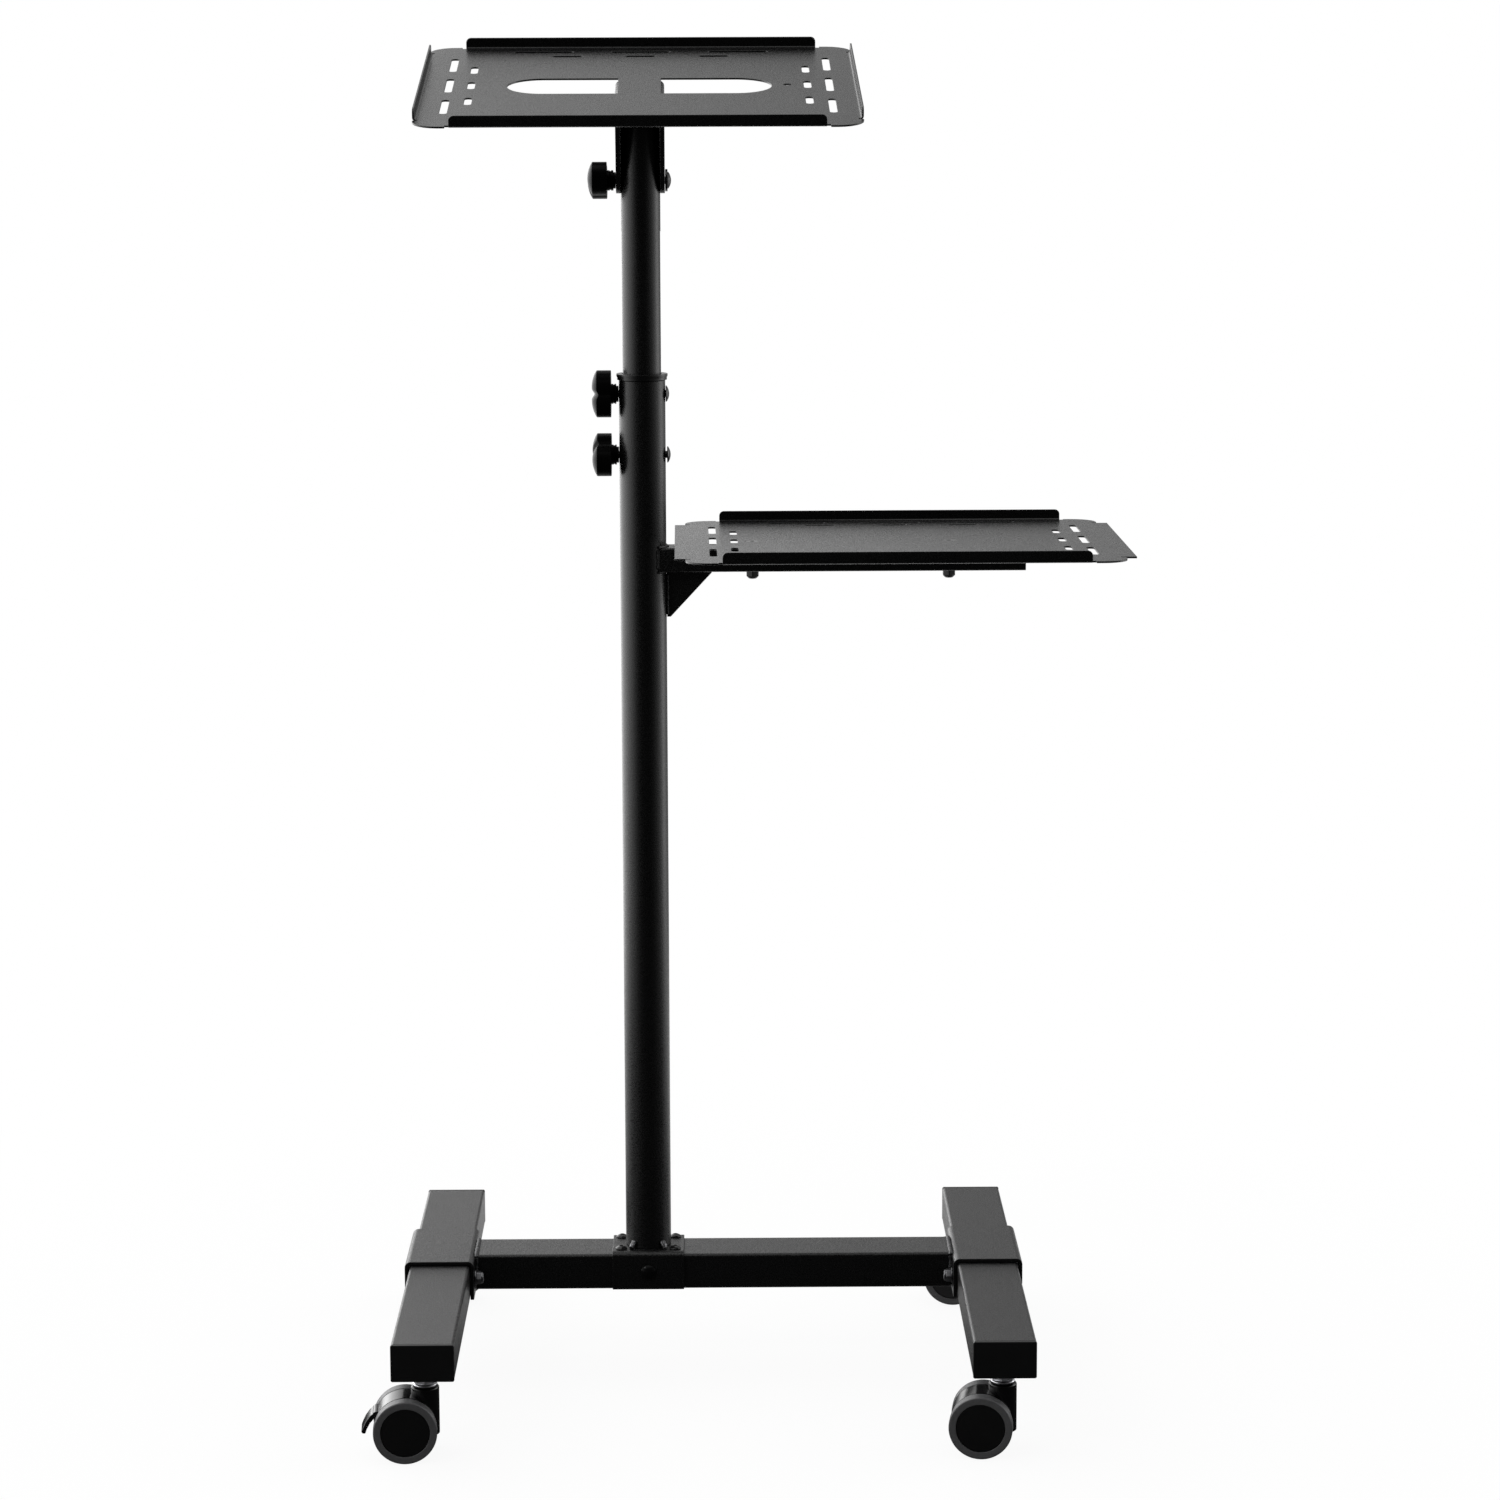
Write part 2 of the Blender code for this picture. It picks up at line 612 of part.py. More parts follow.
def inner_mast():
    points = ring(INNER_RADIUS, INNER_WALL, INNER_BOTTOM, INNER_TOP)
    obj = turned(add("inner_mast", profile_mesh("inner_mast", points, True), TUBE_COAT, FRAME), TUBE_SIDES)
    half = (SLOT_TOP - SLOT_BOTTOM) / 2.0
    slot = prism_mesh("inner_slot", [stadium(0.0, SLOT_BOTTOM + half, SLOT_HALF_WIDTH, half)], THROUGH, FACE_YZ)
    boolean(obj, tool("inner_slot", slot, FRAME), "DIFFERENCE")
    drill(obj, "inner_tilt_hole", BOLT_RADIUS + HOLE_FIT, THROUGH, FRAME, (0.0, 0.0, TILT_Z), ALONG_X)


def through_bolts():
    face = MAST_RADIUS + GAP
    for tag, z, stand_off in (("upper", UPPER_CLAMP_Z, 0.0), ("lower", LOWER_CLAMP_Z, LOWER_CLAMP_STAND_OFF)):
        length = 2.0 * face + stand_off + BOLT_REACH
        domed_bolt(tag + "_clamp_bolt", BOLT_HEAD_RADIUS, BOLT_HEAD_HEIGHT, BOLT_RADIUS, length,
                   BLACK_STEEL, FRAME, (face + stand_off, 0.0, z), ALONG_X)
    side = BRACKET_HALF_WIDTH + GAP
    domed_bolt("tilt_bolt", BOLT_HEAD_RADIUS, BOLT_HEAD_HEIGHT, BOLT_RADIUS, 2.0 * side + BOLT_REACH,
               BLACK_STEEL, FRAME, (side, 0.0, TILT_Z), ALONG_X, (TILT_WASHER_RADIUS, TILT_WASHER))


def knob(name, face, z, hub, turn):
    """Two round lobes on a hub, turning about the bolt; local +Z points away from the mast."""
    pivot = empty(name + "_axis", FRAME, (-face, 0.0, z), UPRIGHT)
    spin = empty(name + "_turn", pivot, (0.0, 0.0, 0.0), (turn, 0.0, 0.0))
    top = hub + LOBE_DEPTH
    points = dome(LOBE_RADIUS, LOBE_DOME, 3, top)
    points += [(LOBE_RADIUS, hub), (0.0, hub)]
    lobes = []
    for side in (1, -1):
        lobe = name if side > 0 else name + "_lobe"
        mesh = profile_mesh(lobe, points, False)
        spot = (0.0, 0.0, side * LOBE_OFFSET)
        if side > 0:
            lobes.append(turned(add(lobe, mesh, PLASTIC, spin, spot, ALONG_MINUS_X), KNOB_SIDES))
        else:
            lobes.append(turned(tool(lobe, mesh, spin, spot, ALONG_MINUS_X), KNOB_SIDES))
    boolean(lobes[0], lobes[1], "UNION")
    sink = hub + LOBE_DEPTH / 2.0
    neck = [(0.0, sink), (HUB_RADIUS, sink), (HUB_RADIUS, HUB_NECK), (HUB_NECK_RADIUS, HUB_NECK)]
    neck += [(HUB_NECK_RADIUS, 0.0), (0.0, 0.0)]
    stalk = turned(tool(name + "_hub", profile_mesh(name + "_hub", neck, False), spin, (0.0, 0.0, 0.0),
                        ALONG_MINUS_X), KNOB_SIDES)
    boolean(lobes[0], stalk, "UNION")
    bore = KNOB_BORE_DEPTH
    drill(lobes[0], name + "_bore", BOLT_RADIUS + HOLE_FIT, 2.0 * bore, spin, (0.0, 0.0, 0.0), ALONG_MINUS_X)
    return lobes[0]


# Pressed sheet trays
def corner_tab(sx, sy, bend_x, bend_y, side_half):
    """Outline points of one flat corner between two lips, in the order side to end."""
    reach_x = TRAY_HALF_WIDTH - TAB_CORNER
    reach_y = TRAY_HALF_DEPTH - TAB_CORNER
    points = [(bend_x - NOTCH_DEPTH, side_half), (bend_x - NOTCH_DEPTH, side_half + NOTCH)]
    points += [(TRAY_HALF_WIDTH, side_half + NOTCH)]
    points += arc(reach_x, reach_y, TAB_CORNER, 0.0, pi / 2, CORNER_STEPS)
    points += [(END_LIP_HALF + NOTCH, TRAY_HALF_DEPTH), (END_LIP_HALF + NOTCH, bend_y - NOTCH_DEPTH)]
    points += [(END_LIP_HALF, bend_y - NOTCH_DEPTH)]
    return [(sx * x, sy * y) for x, y in points]


def tray_openings(with_cutouts):
    outlines = []
    half = SLOT_WIDTH / 2.0
    side_outer_step, side_inner_step = (TRAY_HALF_DEPTH * share for share in SIDE_PITCH_SHARES)
    end_outer_step, end_inner_step = (TRAY_HALF_WIDTH * share for share in END_PITCH_SHARES)
    for side in (-1, 1):
        for step in (-1, 0, 1):
            outlines.append(stadium(side * SIDE_OUTER_X, step * side_outer_step, half, LONG_SLOT / 2.0))
            outlines.append(stadium(side * SIDE_INNER_X, step * side_inner_step, half, SHORT_SLOT / 2.0))
            outlines.append(stadium(step * end_outer_step, side * END_OUTER_Y, LONG_SLOT / 2.0, half))
            outlines.append(stadium(step * end_inner_step, side * END_INNER_Y, SHORT_SLOT / 2.0, half))
        if with_cutouts:
            centre = CUTOUT_OUTER_X - CUTOUT_RADIUS
            outline = [(CUTOUT_INNER_X, -CUTOUT_RADIUS)]
            outline += arc(centre, 0.0, CUTOUT_RADIUS, -pi / 2, pi / 2, 4 * CORNER_STEPS)
            outline += [(CUTOUT_INNER_X, CUTOUT_RADIUS)]
            outlines.append([(side * x, y + CUTOUT_Y) for x, y in outline])
    if with_cutouts:
        outlines.append(arc(HOLE_X, 0.0, HOLE_RADIUS, 0.0, 2.0 * pi - pi / 8.0, 15))
    return outlines


def sheet_mesh(name, side_lips):
    """The tray's upper surface: a flat plate with notched corners and bent lips."""
    bend_x = TRAY_HALF_WIDTH - SHEET - LIP_BEND
    bend_y = TRAY_HALF_DEPTH - SHEET - LIP_BEND
    side_half = SIDE_LIP_HALF if side_lips else FLAP_HALF
    outline = []
    lips = []

    def lip(first, second, outward, up):
        lips.append((len(outline), outward, up))
        outline.append(first)
        outline.append(second)

    def side(sx):
        first = (sx * bend_x, -sx * side_half)
        second = (sx * bend_x, sx * side_half)
        if side_lips:
            lip(first, second, (sx, 0.0), True)
        else:
            out = sx * FLAP_OUT
            outline.extend([first, (out, -sx * side_half), (out, sx * side_half), second])

    def end(sy):
        lip((sy * END_LIP_HALF, sy * bend_y), (-sy * END_LIP_HALF, sy * bend_y), (0.0, sy), True)

    side(1)
    outline.extend(corner_tab(1, 1, bend_x, bend_y, side_half))
    end(1)
    outline.extend(reversed(corner_tab(-1, 1, bend_x, bend_y, side_half)))
    side(-1)
    outline.extend(corner_tab(-1, -1, bend_x, bend_y, side_half))
    end(-1)
    outline.extend(reversed(corner_tab(1, -1, bend_x, bend_y, side_half)))

    bm = bmesh.new()
    verts = [bm.verts.new((x, y, 0.0)) for x, y in outline]
    bm.faces.new(verts)
    for start, (ox, oy), _ in lips:
        row = (verts[start], verts[start + 1])
        base = [v.co.copy() for v in row]
        turns = [pi / 2 * i / CORNER_STEPS for i in range(CORNER_STEPS + 1)]
        for a in turns[1:]:
            out = LIP_BEND * sin(a)
            up = LIP_BEND * (1.0 - cos(a))
            fresh = tuple(bm.verts.new((b.x + ox * out, b.y + oy * out, up)) for b in base)
            bm.faces.new((row[1], row[0], fresh[0], fresh[1]))
            row = fresh
        along = (base[1] - base[0]).normalized()
        rim = []
        for start_point, way, order in ((row[0].co, along, turns), (row[1].co, -along, turns[::-1])):
            for a in order:
                inset = way * (LIP_CORNER * (1.0 - cos(a)))
                up = LIP_HEIGHT - LIP_CORNER * (1.0 - sin(a))
                rim.append(bm.verts.new((start_point.x + inset.x, start_point.y + inset.y, up)))
        bm.faces.new([row[1], row[0]] + rim)
    mesh = bpy.data.meshes.new(name)
    bm.to_mesh(mesh)
    bm.free()
    smooth(mesh)
    return mesh


def sheet_tray(name, parent, location, side_lips, with_cutouts):
    obj = add(name, sheet_mesh(name, side_lips), POWDER, parent, location)
    mod = obj.modifiers.new("Thickness", "SOLIDIFY")
    mod.thickness = SHEET
    mod.offset = -1.0
    mod.use_even_offset = True
    cutter = prism_mesh(name + "_openings", tray_openings(with_cutouts), 8.0 * SHEET)
    boolean(obj, tool(name + "_openings", cutter, parent, location), "DIFFERENCE")
    return obj


def tilt_bracket(parent):
    """A bent plate: a web under the tray and a leg down each side to the tilt bolt."""
    top = TRAY_RISE - SHEET - GAP
    half = BRACKET_HALF_WIDTH
    drop = top + BRACKET_END_RADIUS
    outline = channel(-half, half, top, BRACKET_PLATE, BRACKET_BEND, drop, drop)
    mesh = prism_mesh("tray_bracket", [outline], 2.0 * BRACKET_TOP_HALF, FACE_XZ)
    obj = add("tray_bracket", mesh, POWDER, parent)
    rise = top - BRACKET_BEND
    lean = atan2(BRACKET_TOP_HALF - BRACKET_END_RADIUS, rise)
    side = arc(0.0, 0.0, BRACKET_END_RADIUS, pi + lean, 2.0 * pi - lean, 4 * CORNER_STEPS)
    side += [(BRACKET_TOP_HALF, rise), (BRACKET_TOP_HALF, top + BRACKET_PLATE)]
    side += [(-BRACKET_TOP_HALF, top + BRACKET_PLATE), (-BRACKET_TOP_HALF, rise)]
    shape = prism_mesh("bracket_side", [side], 3.0 * half, FACE_YZ)
    boolean(obj, tool("bracket_side", shape, parent), "INTERSECT")
    drill(obj, "bracket_hole", BOLT_RADIUS + HOLE_FIT, 3.0 * half, parent, (0.0, 0.0, 0.0), ALONG_X)
    return obj


# Arm, gusset, shelf bolts
SHELF_FRAME = empty("shelf_frame", FRAME, (0.0, 0.0, 0.0), (0.0, 0.0, TRAY_TURN))
ARM_TOP = SHELF_Z - SHEET - SHELF_SPACER
ARM_MIDDLE = ARM_TOP - ARM_HEIGHT / 2.0
ARM_BOTTOM = ARM_TOP - ARM_HEIGHT


def shelf_arm():
    half_width = ARM_WIDTH / 2.0
    half_height = ARM_HEIGHT / 2.0
    outer = rounded_box(half_width, half_height, ARM_CORNER, CORNER_STEPS)
    inner = rounded_box(half_width - ARM_WALL, half_height - ARM_WALL, ARM_CORNER - ARM_WALL, CORNER_STEPS)
    mesh = prism_mesh("shelf_arm", [outer, inner], ARM_END - ARM_START, FACE_YZ)
    obj = add("shelf_arm", mesh, POWDER, SHELF_FRAME, ((ARM_START + ARM_END) / 2.0, 0.0, ARM_MIDDLE))
    mouth = cylinder_mesh("arm_mouth", MAST_RADIUS + GAP, 3.0 * ARM_HEIGHT, 2 * TUBE_SIDES)
    boolean(obj, tool("arm_mouth", mouth, SHELF_FRAME, (0.0, 0.0, ARM_MIDDLE)), "DIFFERENCE")
    for tag, x in (("left", SHELF_BOLT_LEFT), ("right", SHELF_BOLT_RIGHT)):
        spot = (SHELF_X + x, 0.0, ARM_MIDDLE)
        drill(obj, "arm_" + tag + "_hole", BOLT_RADIUS + HOLE_FIT, 2.0 * ARM_HEIGHT, SHELF_FRAME, spot, UPRIGHT)


def gusset():
    start = MAST_RADIUS + GAP
    top = ARM_BOTTOM - GAP
    low = top - GUSSET_DROP
    end = start + GUSSET_REACH
    outline = [(start, low), (start + GUSSET_TIP, low), (end, top - GUSSET_TIP / 2.0), (end, top), (start, top)]
    mesh = prism_mesh("shelf_gusset", [outline], GUSSET_PLATE, FACE_XZ)
    add("shelf_gusset", mesh, POWDER, SHELF_FRAME)


def shelf_bolt(tag, x):
    """Countersunk screw with the spacer under the shelf and the nut under the arm."""
    name = "shelf_bolt_" + tag
    under_sheet = -SHEET - GAP
    arm_top = ARM_TOP - SHELF_Z
    arm_low = ARM_BOTTOM - SHELF_Z - GAP
    thread_end = arm_low - NUT_HEIGHT - NUT_END
    points = [(0.0, 0.0), (CSK_RADIUS, 0.0), (CSK_RADIUS - SHEET, -SHEET), (CSK_RADIUS - SHEET, under_sheet)]
    points += [(SPACER_RADIUS, under_sheet), (SPACER_RADIUS, arm_top + GAP), (BOLT_RADIUS, arm_top + GAP)]
    points += [(BOLT_RADIUS, thread_end + HOLE_FIT), (BOLT_RADIUS - HOLE_FIT, thread_end), (0.0, thread_end)]
    spot = (SHELF_X + x, 0.0, SHELF_Z)
    obj = turned(add(name, profile_mesh(name, points, False), BLACK_STEEL, SHELF_FRAME, spot), BOLT_SIDES)
    nut_spot = (spot[0], spot[1], SHELF_Z + arm_low - NUT_HEIGHT / 2.0)
    nut = tool(name + "_nut", cylinder_mesh(name + "_nut", NUT_RADIUS, NUT_HEIGHT, 6), SHELF_FRAME, nut_spot)
    boolean(obj, nut, "UNION")


def lower_shelf():
    obj = sheet_tray("lower_shelf", SHELF_FRAME, (SHELF_X, 0.0, SHELF_Z), False, False)
    for tag, x in (("left", SHELF_BOLT_LEFT), ("right", SHELF_BOLT_RIGHT)):
        name = "shelf_" + tag + "_countersink"
        wide = CSK_RADIUS + GAP
        points = [(0.0, SHEET), (wide + SHEET, SHEET), (wide - 2.0 * SHEET, -2.0 * SHEET), (0.0, -2.0 * SHEET)]
        cutter = tool(name, profile_mesh(name, points, False), SHELF_FRAME, (SHELF_X + x, 0.0, SHELF_Z))
        boolean(obj, turned(cutter, BOLT_SIDES), "DIFFERENCE")


# Castors
def castor_stem(name, parent):
    nut_bottom = BARREL_TOP + GAP
    nut_top = nut_bottom + STEM_NUT_HEIGHT
    seat = TUBE_BOTTOM - GAP
    points = [(0.0, STEM_TOP), (STEM_RADIUS - HOLE_FIT, STEM_TOP), (STEM_RADIUS, STEM_TOP - HOLE_FIT)]
    points += [(STEM_RADIUS, seat), (STEM_WASHER_RADIUS, seat), (STEM_WASHER_RADIUS, seat - STEM_WASHER)]
    points += [(STEM_RADIUS, seat - STEM_WASHER), (STEM_RADIUS, STEM_FOOT), (0.0, STEM_FOOT)]
    obj = turned(add(name, profile_mesh(name, points, False), ZINC, parent), BOLT_SIDES)
    nut = cylinder_mesh(name + "_nut", STEM_NUT_RADIUS, STEM_NUT_HEIGHT, 6)
    spot = (0.0, 0.0, (nut_bottom + nut_top) / 2.0)
    boolean(obj, tool(name + "_nut", nut, parent, spot), "UNION")


def castor_hood(name, parent):
    """Barrel round the stem, fender between the wheels and the fixed axle."""
    edge = BARREL_RADIUS - BARREL_CHAMFER
    points = [(0.0, BARREL_TOP), (edge, BARREL_TOP), (BARREL_RADIUS, BARREL_TOP - BARREL_CHAMFER)]
    points += [(BARREL_RADIUS, BARREL_BOTTOM + BARREL_CHAMFER), (edge, BARREL_BOTTOM), (0.0, BARREL_BOTTOM)]
    obj = turned(add(name, profile_mesh(name, points, False), PLASTIC, parent), BARREL_SIDES)
    cx, cz = -CASTOR_TRAIL, WHEEL_RADIUS
    outline = arc(cx, cz, FENDER_RADIUS, radians(24.0), radians(152.0), 5 * CORNER_STEPS)
    outline += [(LEVER_X + LEVER_SEAT, LEVER_Z - LEVER_SEAT), (cx - AXLE_HALF / 2.0, BARREL_BOTTOM)]
    outline += [(0.0, BARREL_BOTTOM)]
    fender = prism_mesh(name + "_fender", [outline], 2.0 * FENDER_HALF, FACE_XZ)
    boolean(obj, tool(name + "_fender", fender, parent), "UNION")
    axle = cylinder_mesh(name + "_axle", AXLE_RADIUS, 2.0 * AXLE_HALF, BOLT_SIDES)
    boolean(obj, tool(name + "_axle", axle, parent, (cx, 0.0, cz), ALONG_MINUS_Y), "UNION")
    depth = BARREL_TOP - STEM_FOOT + SLIDE_FIT
    bore_spot = (0.0, 0.0, STEM_FOOT - SLIDE_FIT + depth)
    drill(obj, name + "_bore", STEM_RADIUS + SLIDE_FIT, 2.0 * depth, parent, bore_spot, UPRIGHT)
    seat_spot = (LEVER_X, 0.0, LEVER_Z)
    drill(obj, name + "_seat", LEVER_SEAT, 3.0 * FENDER_HALF, parent, seat_spot, ALONG_MINUS_Y)


TYRE_OUTLINE = (
    (WHEEL_RADIUS - SHOULDER, WHEEL_OUTER_Y),
    (WHEEL_RADIUS, WHEEL_OUTER_Y - SHOULDER),
    (WHEEL_RADIUS, WHEEL_INNER_Y + SHOULDER),
    (WHEEL_RADIUS - SHOULDER, WHEEL_INNER_Y),
    (HUB_DISC_RADIUS + GAP, WHEEL_INNER_Y),
    (HUB_DISC_RADIUS + GAP, WHEEL_OUTER_Y),
)
HUB_BORE = AXLE_RADIUS + HOLE_FIT
HUB_OUTLINE = (
    (0.0, WHEEL_OUTER_Y - GAP),
    (HUB_DISC_RADIUS, WHEEL_OUTER_Y - GAP),
    (HUB_DISC_RADIUS, WHEEL_INNER_Y + GAP),
    (HUB_BORE, WHEEL_INNER_Y + GAP),
    (HUB_BORE, AXLE_HALF + SLIDE_FIT),
    (0.0, AXLE_HALF + SLIDE_FIT),
)


def castor_wheel(tag, parent, side):
    rotation = ALONG_MINUS_Y if side < 0 else ALONG_Y
    spot = (-CASTOR_TRAIL, 0.0, WHEEL_RADIUS)
    hub = profile_mesh(tag + "_hub", HUB_OUTLINE, False)
    turned(add(tag + "_hub", hub, PLASTIC, parent, spot, rotation), WHEEL_SIDES)
    tyre = profile_mesh(tag + "_tyre", TYRE_OUTLINE, True)
    turned(add(tag + "_tyre", tyre, TYRE, parent, spot, rotation), WHEEL_SIDES)


# the blade's outline from its pivot, as shares of its reach back and its drop
LEVER_SHARES = (
    (-0.176, 0.139), (-0.441, -0.036), (-0.706, -0.337), (-0.897, -0.663), (-1.0, -0.88),
    (-0.926, -0.988), (-0.735, -1.0), (-0.632, -0.747), (-0.412, -0.422), (-0.162, -0.181), (0.0, 0.0),
)


def brake_lever(name, parent):
    """A pedal blade on a round pivot at the back of the fender."""
    barrel = cylinder_mesh(name, LEVER_BARREL, 2.0 * LEVER_HALF, BOLT_SIDES)
    obj = add(name, barrel, PLASTIC, parent, (LEVER_X, 0.0, LEVER_Z), ALONG_MINUS_Y)
    outline = [(back * LEVER_REACH, down * LEVER_DROP) for back, down in LEVER_SHARES]
    blade = prism_mesh(name + "_blade", [outline], 2.0 * LEVER_HALF - GAP, FACE_XZ)
    boolean(obj, tool(name + "_blade", blade, parent, (LEVER_X, 0.0, LEVER_Z)), "UNION")


def castor(tag, x, y, turn, braked):
    swivel = empty("castor_" + tag, FRAME, (x, y, 0.0), (0.0, 0.0, turn))
    castor_stem("castor_" + tag + "_stem", swivel)
    castor_hood("castor_" + tag + "_hood", swivel)
    castor_wheel("castor_" + tag + "_near", swivel, -1)
    castor_wheel("castor_" + tag + "_far", swivel, 1)
    if braked:
        brake_lever("castor_" + tag + "_brake", swivel)


# Assembly
cross_beam()
leg("left_leg", LEFT_LEG_X, 1)
leg("right_leg", RIGHT_LEG_X, -1)
saddle("left_saddle", LEFT_LEG_X, 1)
saddle("right_saddle", RIGHT_LEG_X, -1)
saddle_bolt("left_saddle_bolt", LEFT_LEG_X, 1)
saddle_bolt("right_saddle_bolt", RIGHT_LEG_X, -1)
for side_name, leg_x in (("left", LEFT_LEG_X), ("right", RIGHT_LEG_X)):
    leg_plug(side_name + "_leg_front_plug", leg_x, LEG_FRONT + PLUG_FLANGE, ALONG_MINUS_Y)
    leg_plug(side_name + "_leg_rear_plug", leg_x, LEG_BACK - PLUG_FLANGE, ALONG_Y)
mast_foot()
foot_bolts()
front_bolt()
outer_mast()
mast_bush()
inner_mast()
through_bolts()
clamp_face = MAST_RADIUS + GAP
tilt_face = BRACKET_HALF_WIDTH + GAP
knob("upper_clamp_knob", clamp_face, UPPER_CLAMP_Z, CLAMP_HUB, UPPER_KNOB_TURN)
knob("lower_clamp_knob", clamp_face, LOWER_CLAMP_Z, CLAMP_HUB, LOWER_KNOB_TURN)
knob("tilt_knob", tilt_face, TILT_Z, TILT_HUB, TILT_KNOB_TURN)
TRAY_PIVOT = empty("tray_pivot", FRAME, (0.0, 0.0, TILT_Z), (TRAY_TILT, 0.0, TRAY_TURN))
sheet_tray("top_tray", TRAY_PIVOT, (0.0, 0.0, TRAY_RISE), True, True)
tilt_bracket(TRAY_PIVOT)
shelf_arm()
gusset()
lower_shelf()
shelf_bolt("left", SHELF_BOLT_LEFT)
shelf_bolt("right", SHELF_BOLT_RIGHT)
castor("front_left", LEFT_LEG_X, FRONT_STEM_Y, FRONT_LEFT_TURN, True)
castor("front_right", RIGHT_LEG_X, FRONT_STEM_Y, FRONT_RIGHT_TURN, False)
castor("rear_left", LEFT_LEG_X, REAR_STEM_Y, REAR_LEFT_TURN, False)
castor("rear_right", RIGHT_LEG_X, REAR_STEM_Y, REAR_RIGHT_TURN, True)
bpy.context.view_layer.update()
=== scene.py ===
"""Looks of the projector table: finer pieces in the place of the frame's solids,
their finishes, the pale studio they stand in and the camera."""

import json
from math import atan2, cos, pi, radians, sin, sqrt

import bmesh
import bpy
from mathutils import Matrix, Vector

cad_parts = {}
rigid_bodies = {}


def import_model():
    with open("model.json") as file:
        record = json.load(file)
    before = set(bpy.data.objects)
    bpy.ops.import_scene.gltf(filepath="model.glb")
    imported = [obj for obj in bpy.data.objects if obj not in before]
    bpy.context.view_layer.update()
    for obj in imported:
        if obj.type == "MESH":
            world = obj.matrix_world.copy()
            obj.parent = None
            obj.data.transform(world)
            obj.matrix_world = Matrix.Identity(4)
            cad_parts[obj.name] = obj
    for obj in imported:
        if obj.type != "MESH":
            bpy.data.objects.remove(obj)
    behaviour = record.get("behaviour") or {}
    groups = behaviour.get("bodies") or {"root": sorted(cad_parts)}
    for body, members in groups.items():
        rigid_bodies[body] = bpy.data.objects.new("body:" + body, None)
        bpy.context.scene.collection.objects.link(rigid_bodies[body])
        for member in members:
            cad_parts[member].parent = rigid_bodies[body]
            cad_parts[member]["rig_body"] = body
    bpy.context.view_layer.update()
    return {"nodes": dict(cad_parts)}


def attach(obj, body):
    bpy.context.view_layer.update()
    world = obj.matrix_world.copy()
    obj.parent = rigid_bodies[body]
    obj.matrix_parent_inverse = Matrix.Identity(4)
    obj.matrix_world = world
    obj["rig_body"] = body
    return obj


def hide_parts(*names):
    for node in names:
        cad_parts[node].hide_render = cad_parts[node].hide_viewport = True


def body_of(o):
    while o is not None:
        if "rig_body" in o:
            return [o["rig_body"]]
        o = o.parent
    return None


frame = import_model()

# Sizes of the table, in metres, with the mast's axis as the origin
GAP = 0.0003
MAST_X = -0.085099
MAST_Y = 0.023968

TUBE_WIDTH = 0.050
TUBE_HEIGHT = 0.030
TUBE_CORNER = 0.0026
TUBE_BOTTOM = 0.068
TUBE_TOP = TUBE_BOTTOM + TUBE_HEIGHT
LEFT_LEG_X = -0.1735
RIGHT_LEG_X = 0.2834
LEG_FRONT = -0.267
LEG_BACK = 0.1865
PLUG_FLANGE = 0.0028
PLUG_CORNER = 0.0015
PLUG_EDGE = 0.0006

SADDLE_PLATE = 0.003
SADDLE_LENGTH = 0.100
SADDLE_BEND = 0.005
SADDLE_INNER_FACE = 0.0283
SADDLE_OUTER_FACE = 0.0293
SADDLE_OUTER_DROP = 0.022
SADDLE_INNER_DROP = 0.033
SADDLE_BOLT_Y = -0.038
SADDLE_BOLT_Z = 0.084
SADDLE_WASHER_RADIUS = 0.0062
SADDLE_WASHER = 0.0012
SADDLE_HEX_RADIUS = 0.0057
SADDLE_HEX = 0.0042
COLLAR_RADIUS = 0.0046
COLLAR = 0.0019
COLLAR_SLOPE = 0.0008
BOLT_END_DEPTH = 0.0010
BOLT_END_SLOPE = 0.0006

BEAM_TOP = 0.0995
FOOT_PLATE = 0.0025
FOOT_HALF_LENGTH = 0.030
FOOT_BEND = 0.0045
FOOT_DROP = 0.0325
FOOT_BOLT_X = 0.0226
FOOT_BOLT_Y = 0.0176
FRONT_BOLT_Z = 0.0845
FOOT_HEAD_RADIUS = 0.0049
FOOT_HEAD_HEIGHT = 0.0027
FOOT_SOCKET_RADIUS = 0.0017
FOOT_SOCKET_DEPTH = 0.0013
FRONT_HEAD_HEIGHT = 0.0033

MAST_RADIUS = 0.019
MAST_WALL = 0.0015
MAST_TOP = 0.8314
BUSH_RADIUS = 0.021
BUSH_FLANGE = 0.005
BUSH_BROW = 0.0018
BUSH_NECK = 0.0030
BUSH_NECK_DEPTH = 0.0006
BUSH_PLAY = 0.0004
INNER_RADIUS = 0.016
INNER_WALL = 0.0015
INNER_BOTTOM = 0.600
INNER_TOP = 1.051
SLOT_BOTTOM = 0.622
SLOT_TOP = 0.952
SLOT_HALF_WIDTH = 0.0036

UPPER_CLAMP_Z = 0.8201
LOWER_CLAMP_Z = 0.7703
LOWER_CLAMP_STAND_OFF = 0.0009
TILT_Z = 0.993
BOLT_RADIUS = 0.003
BOLT_HEAD_RADIUS = 0.0067
BOLT_HEAD_HEIGHT = 0.0029
TILT_WASHER_RADIUS = 0.009
TILT_WASHER = 0.0019
BOLT_REACH = 0.0105
LOBE_RADIUS = 0.0135
LOBE_OFFSET = 0.0057
LOBE_DEPTH = 0.0127
LOBE_DOME = 0.0030
KNOB_BROW = 0.001
VALLEY_DEPTH = 0.0016
VALLEY_REACH = 0.0042
HUB_RADIUS = 0.0082
HUB_NECK_RADIUS = 0.0066
HUB_NECK = 0.0018
HUB_GROOVE_DEPTH = 0.0006
HUB_GROOVE = (0.0005, 0.0002, -0.0006, -0.0009)
CLAMP_HUB = 0.0060
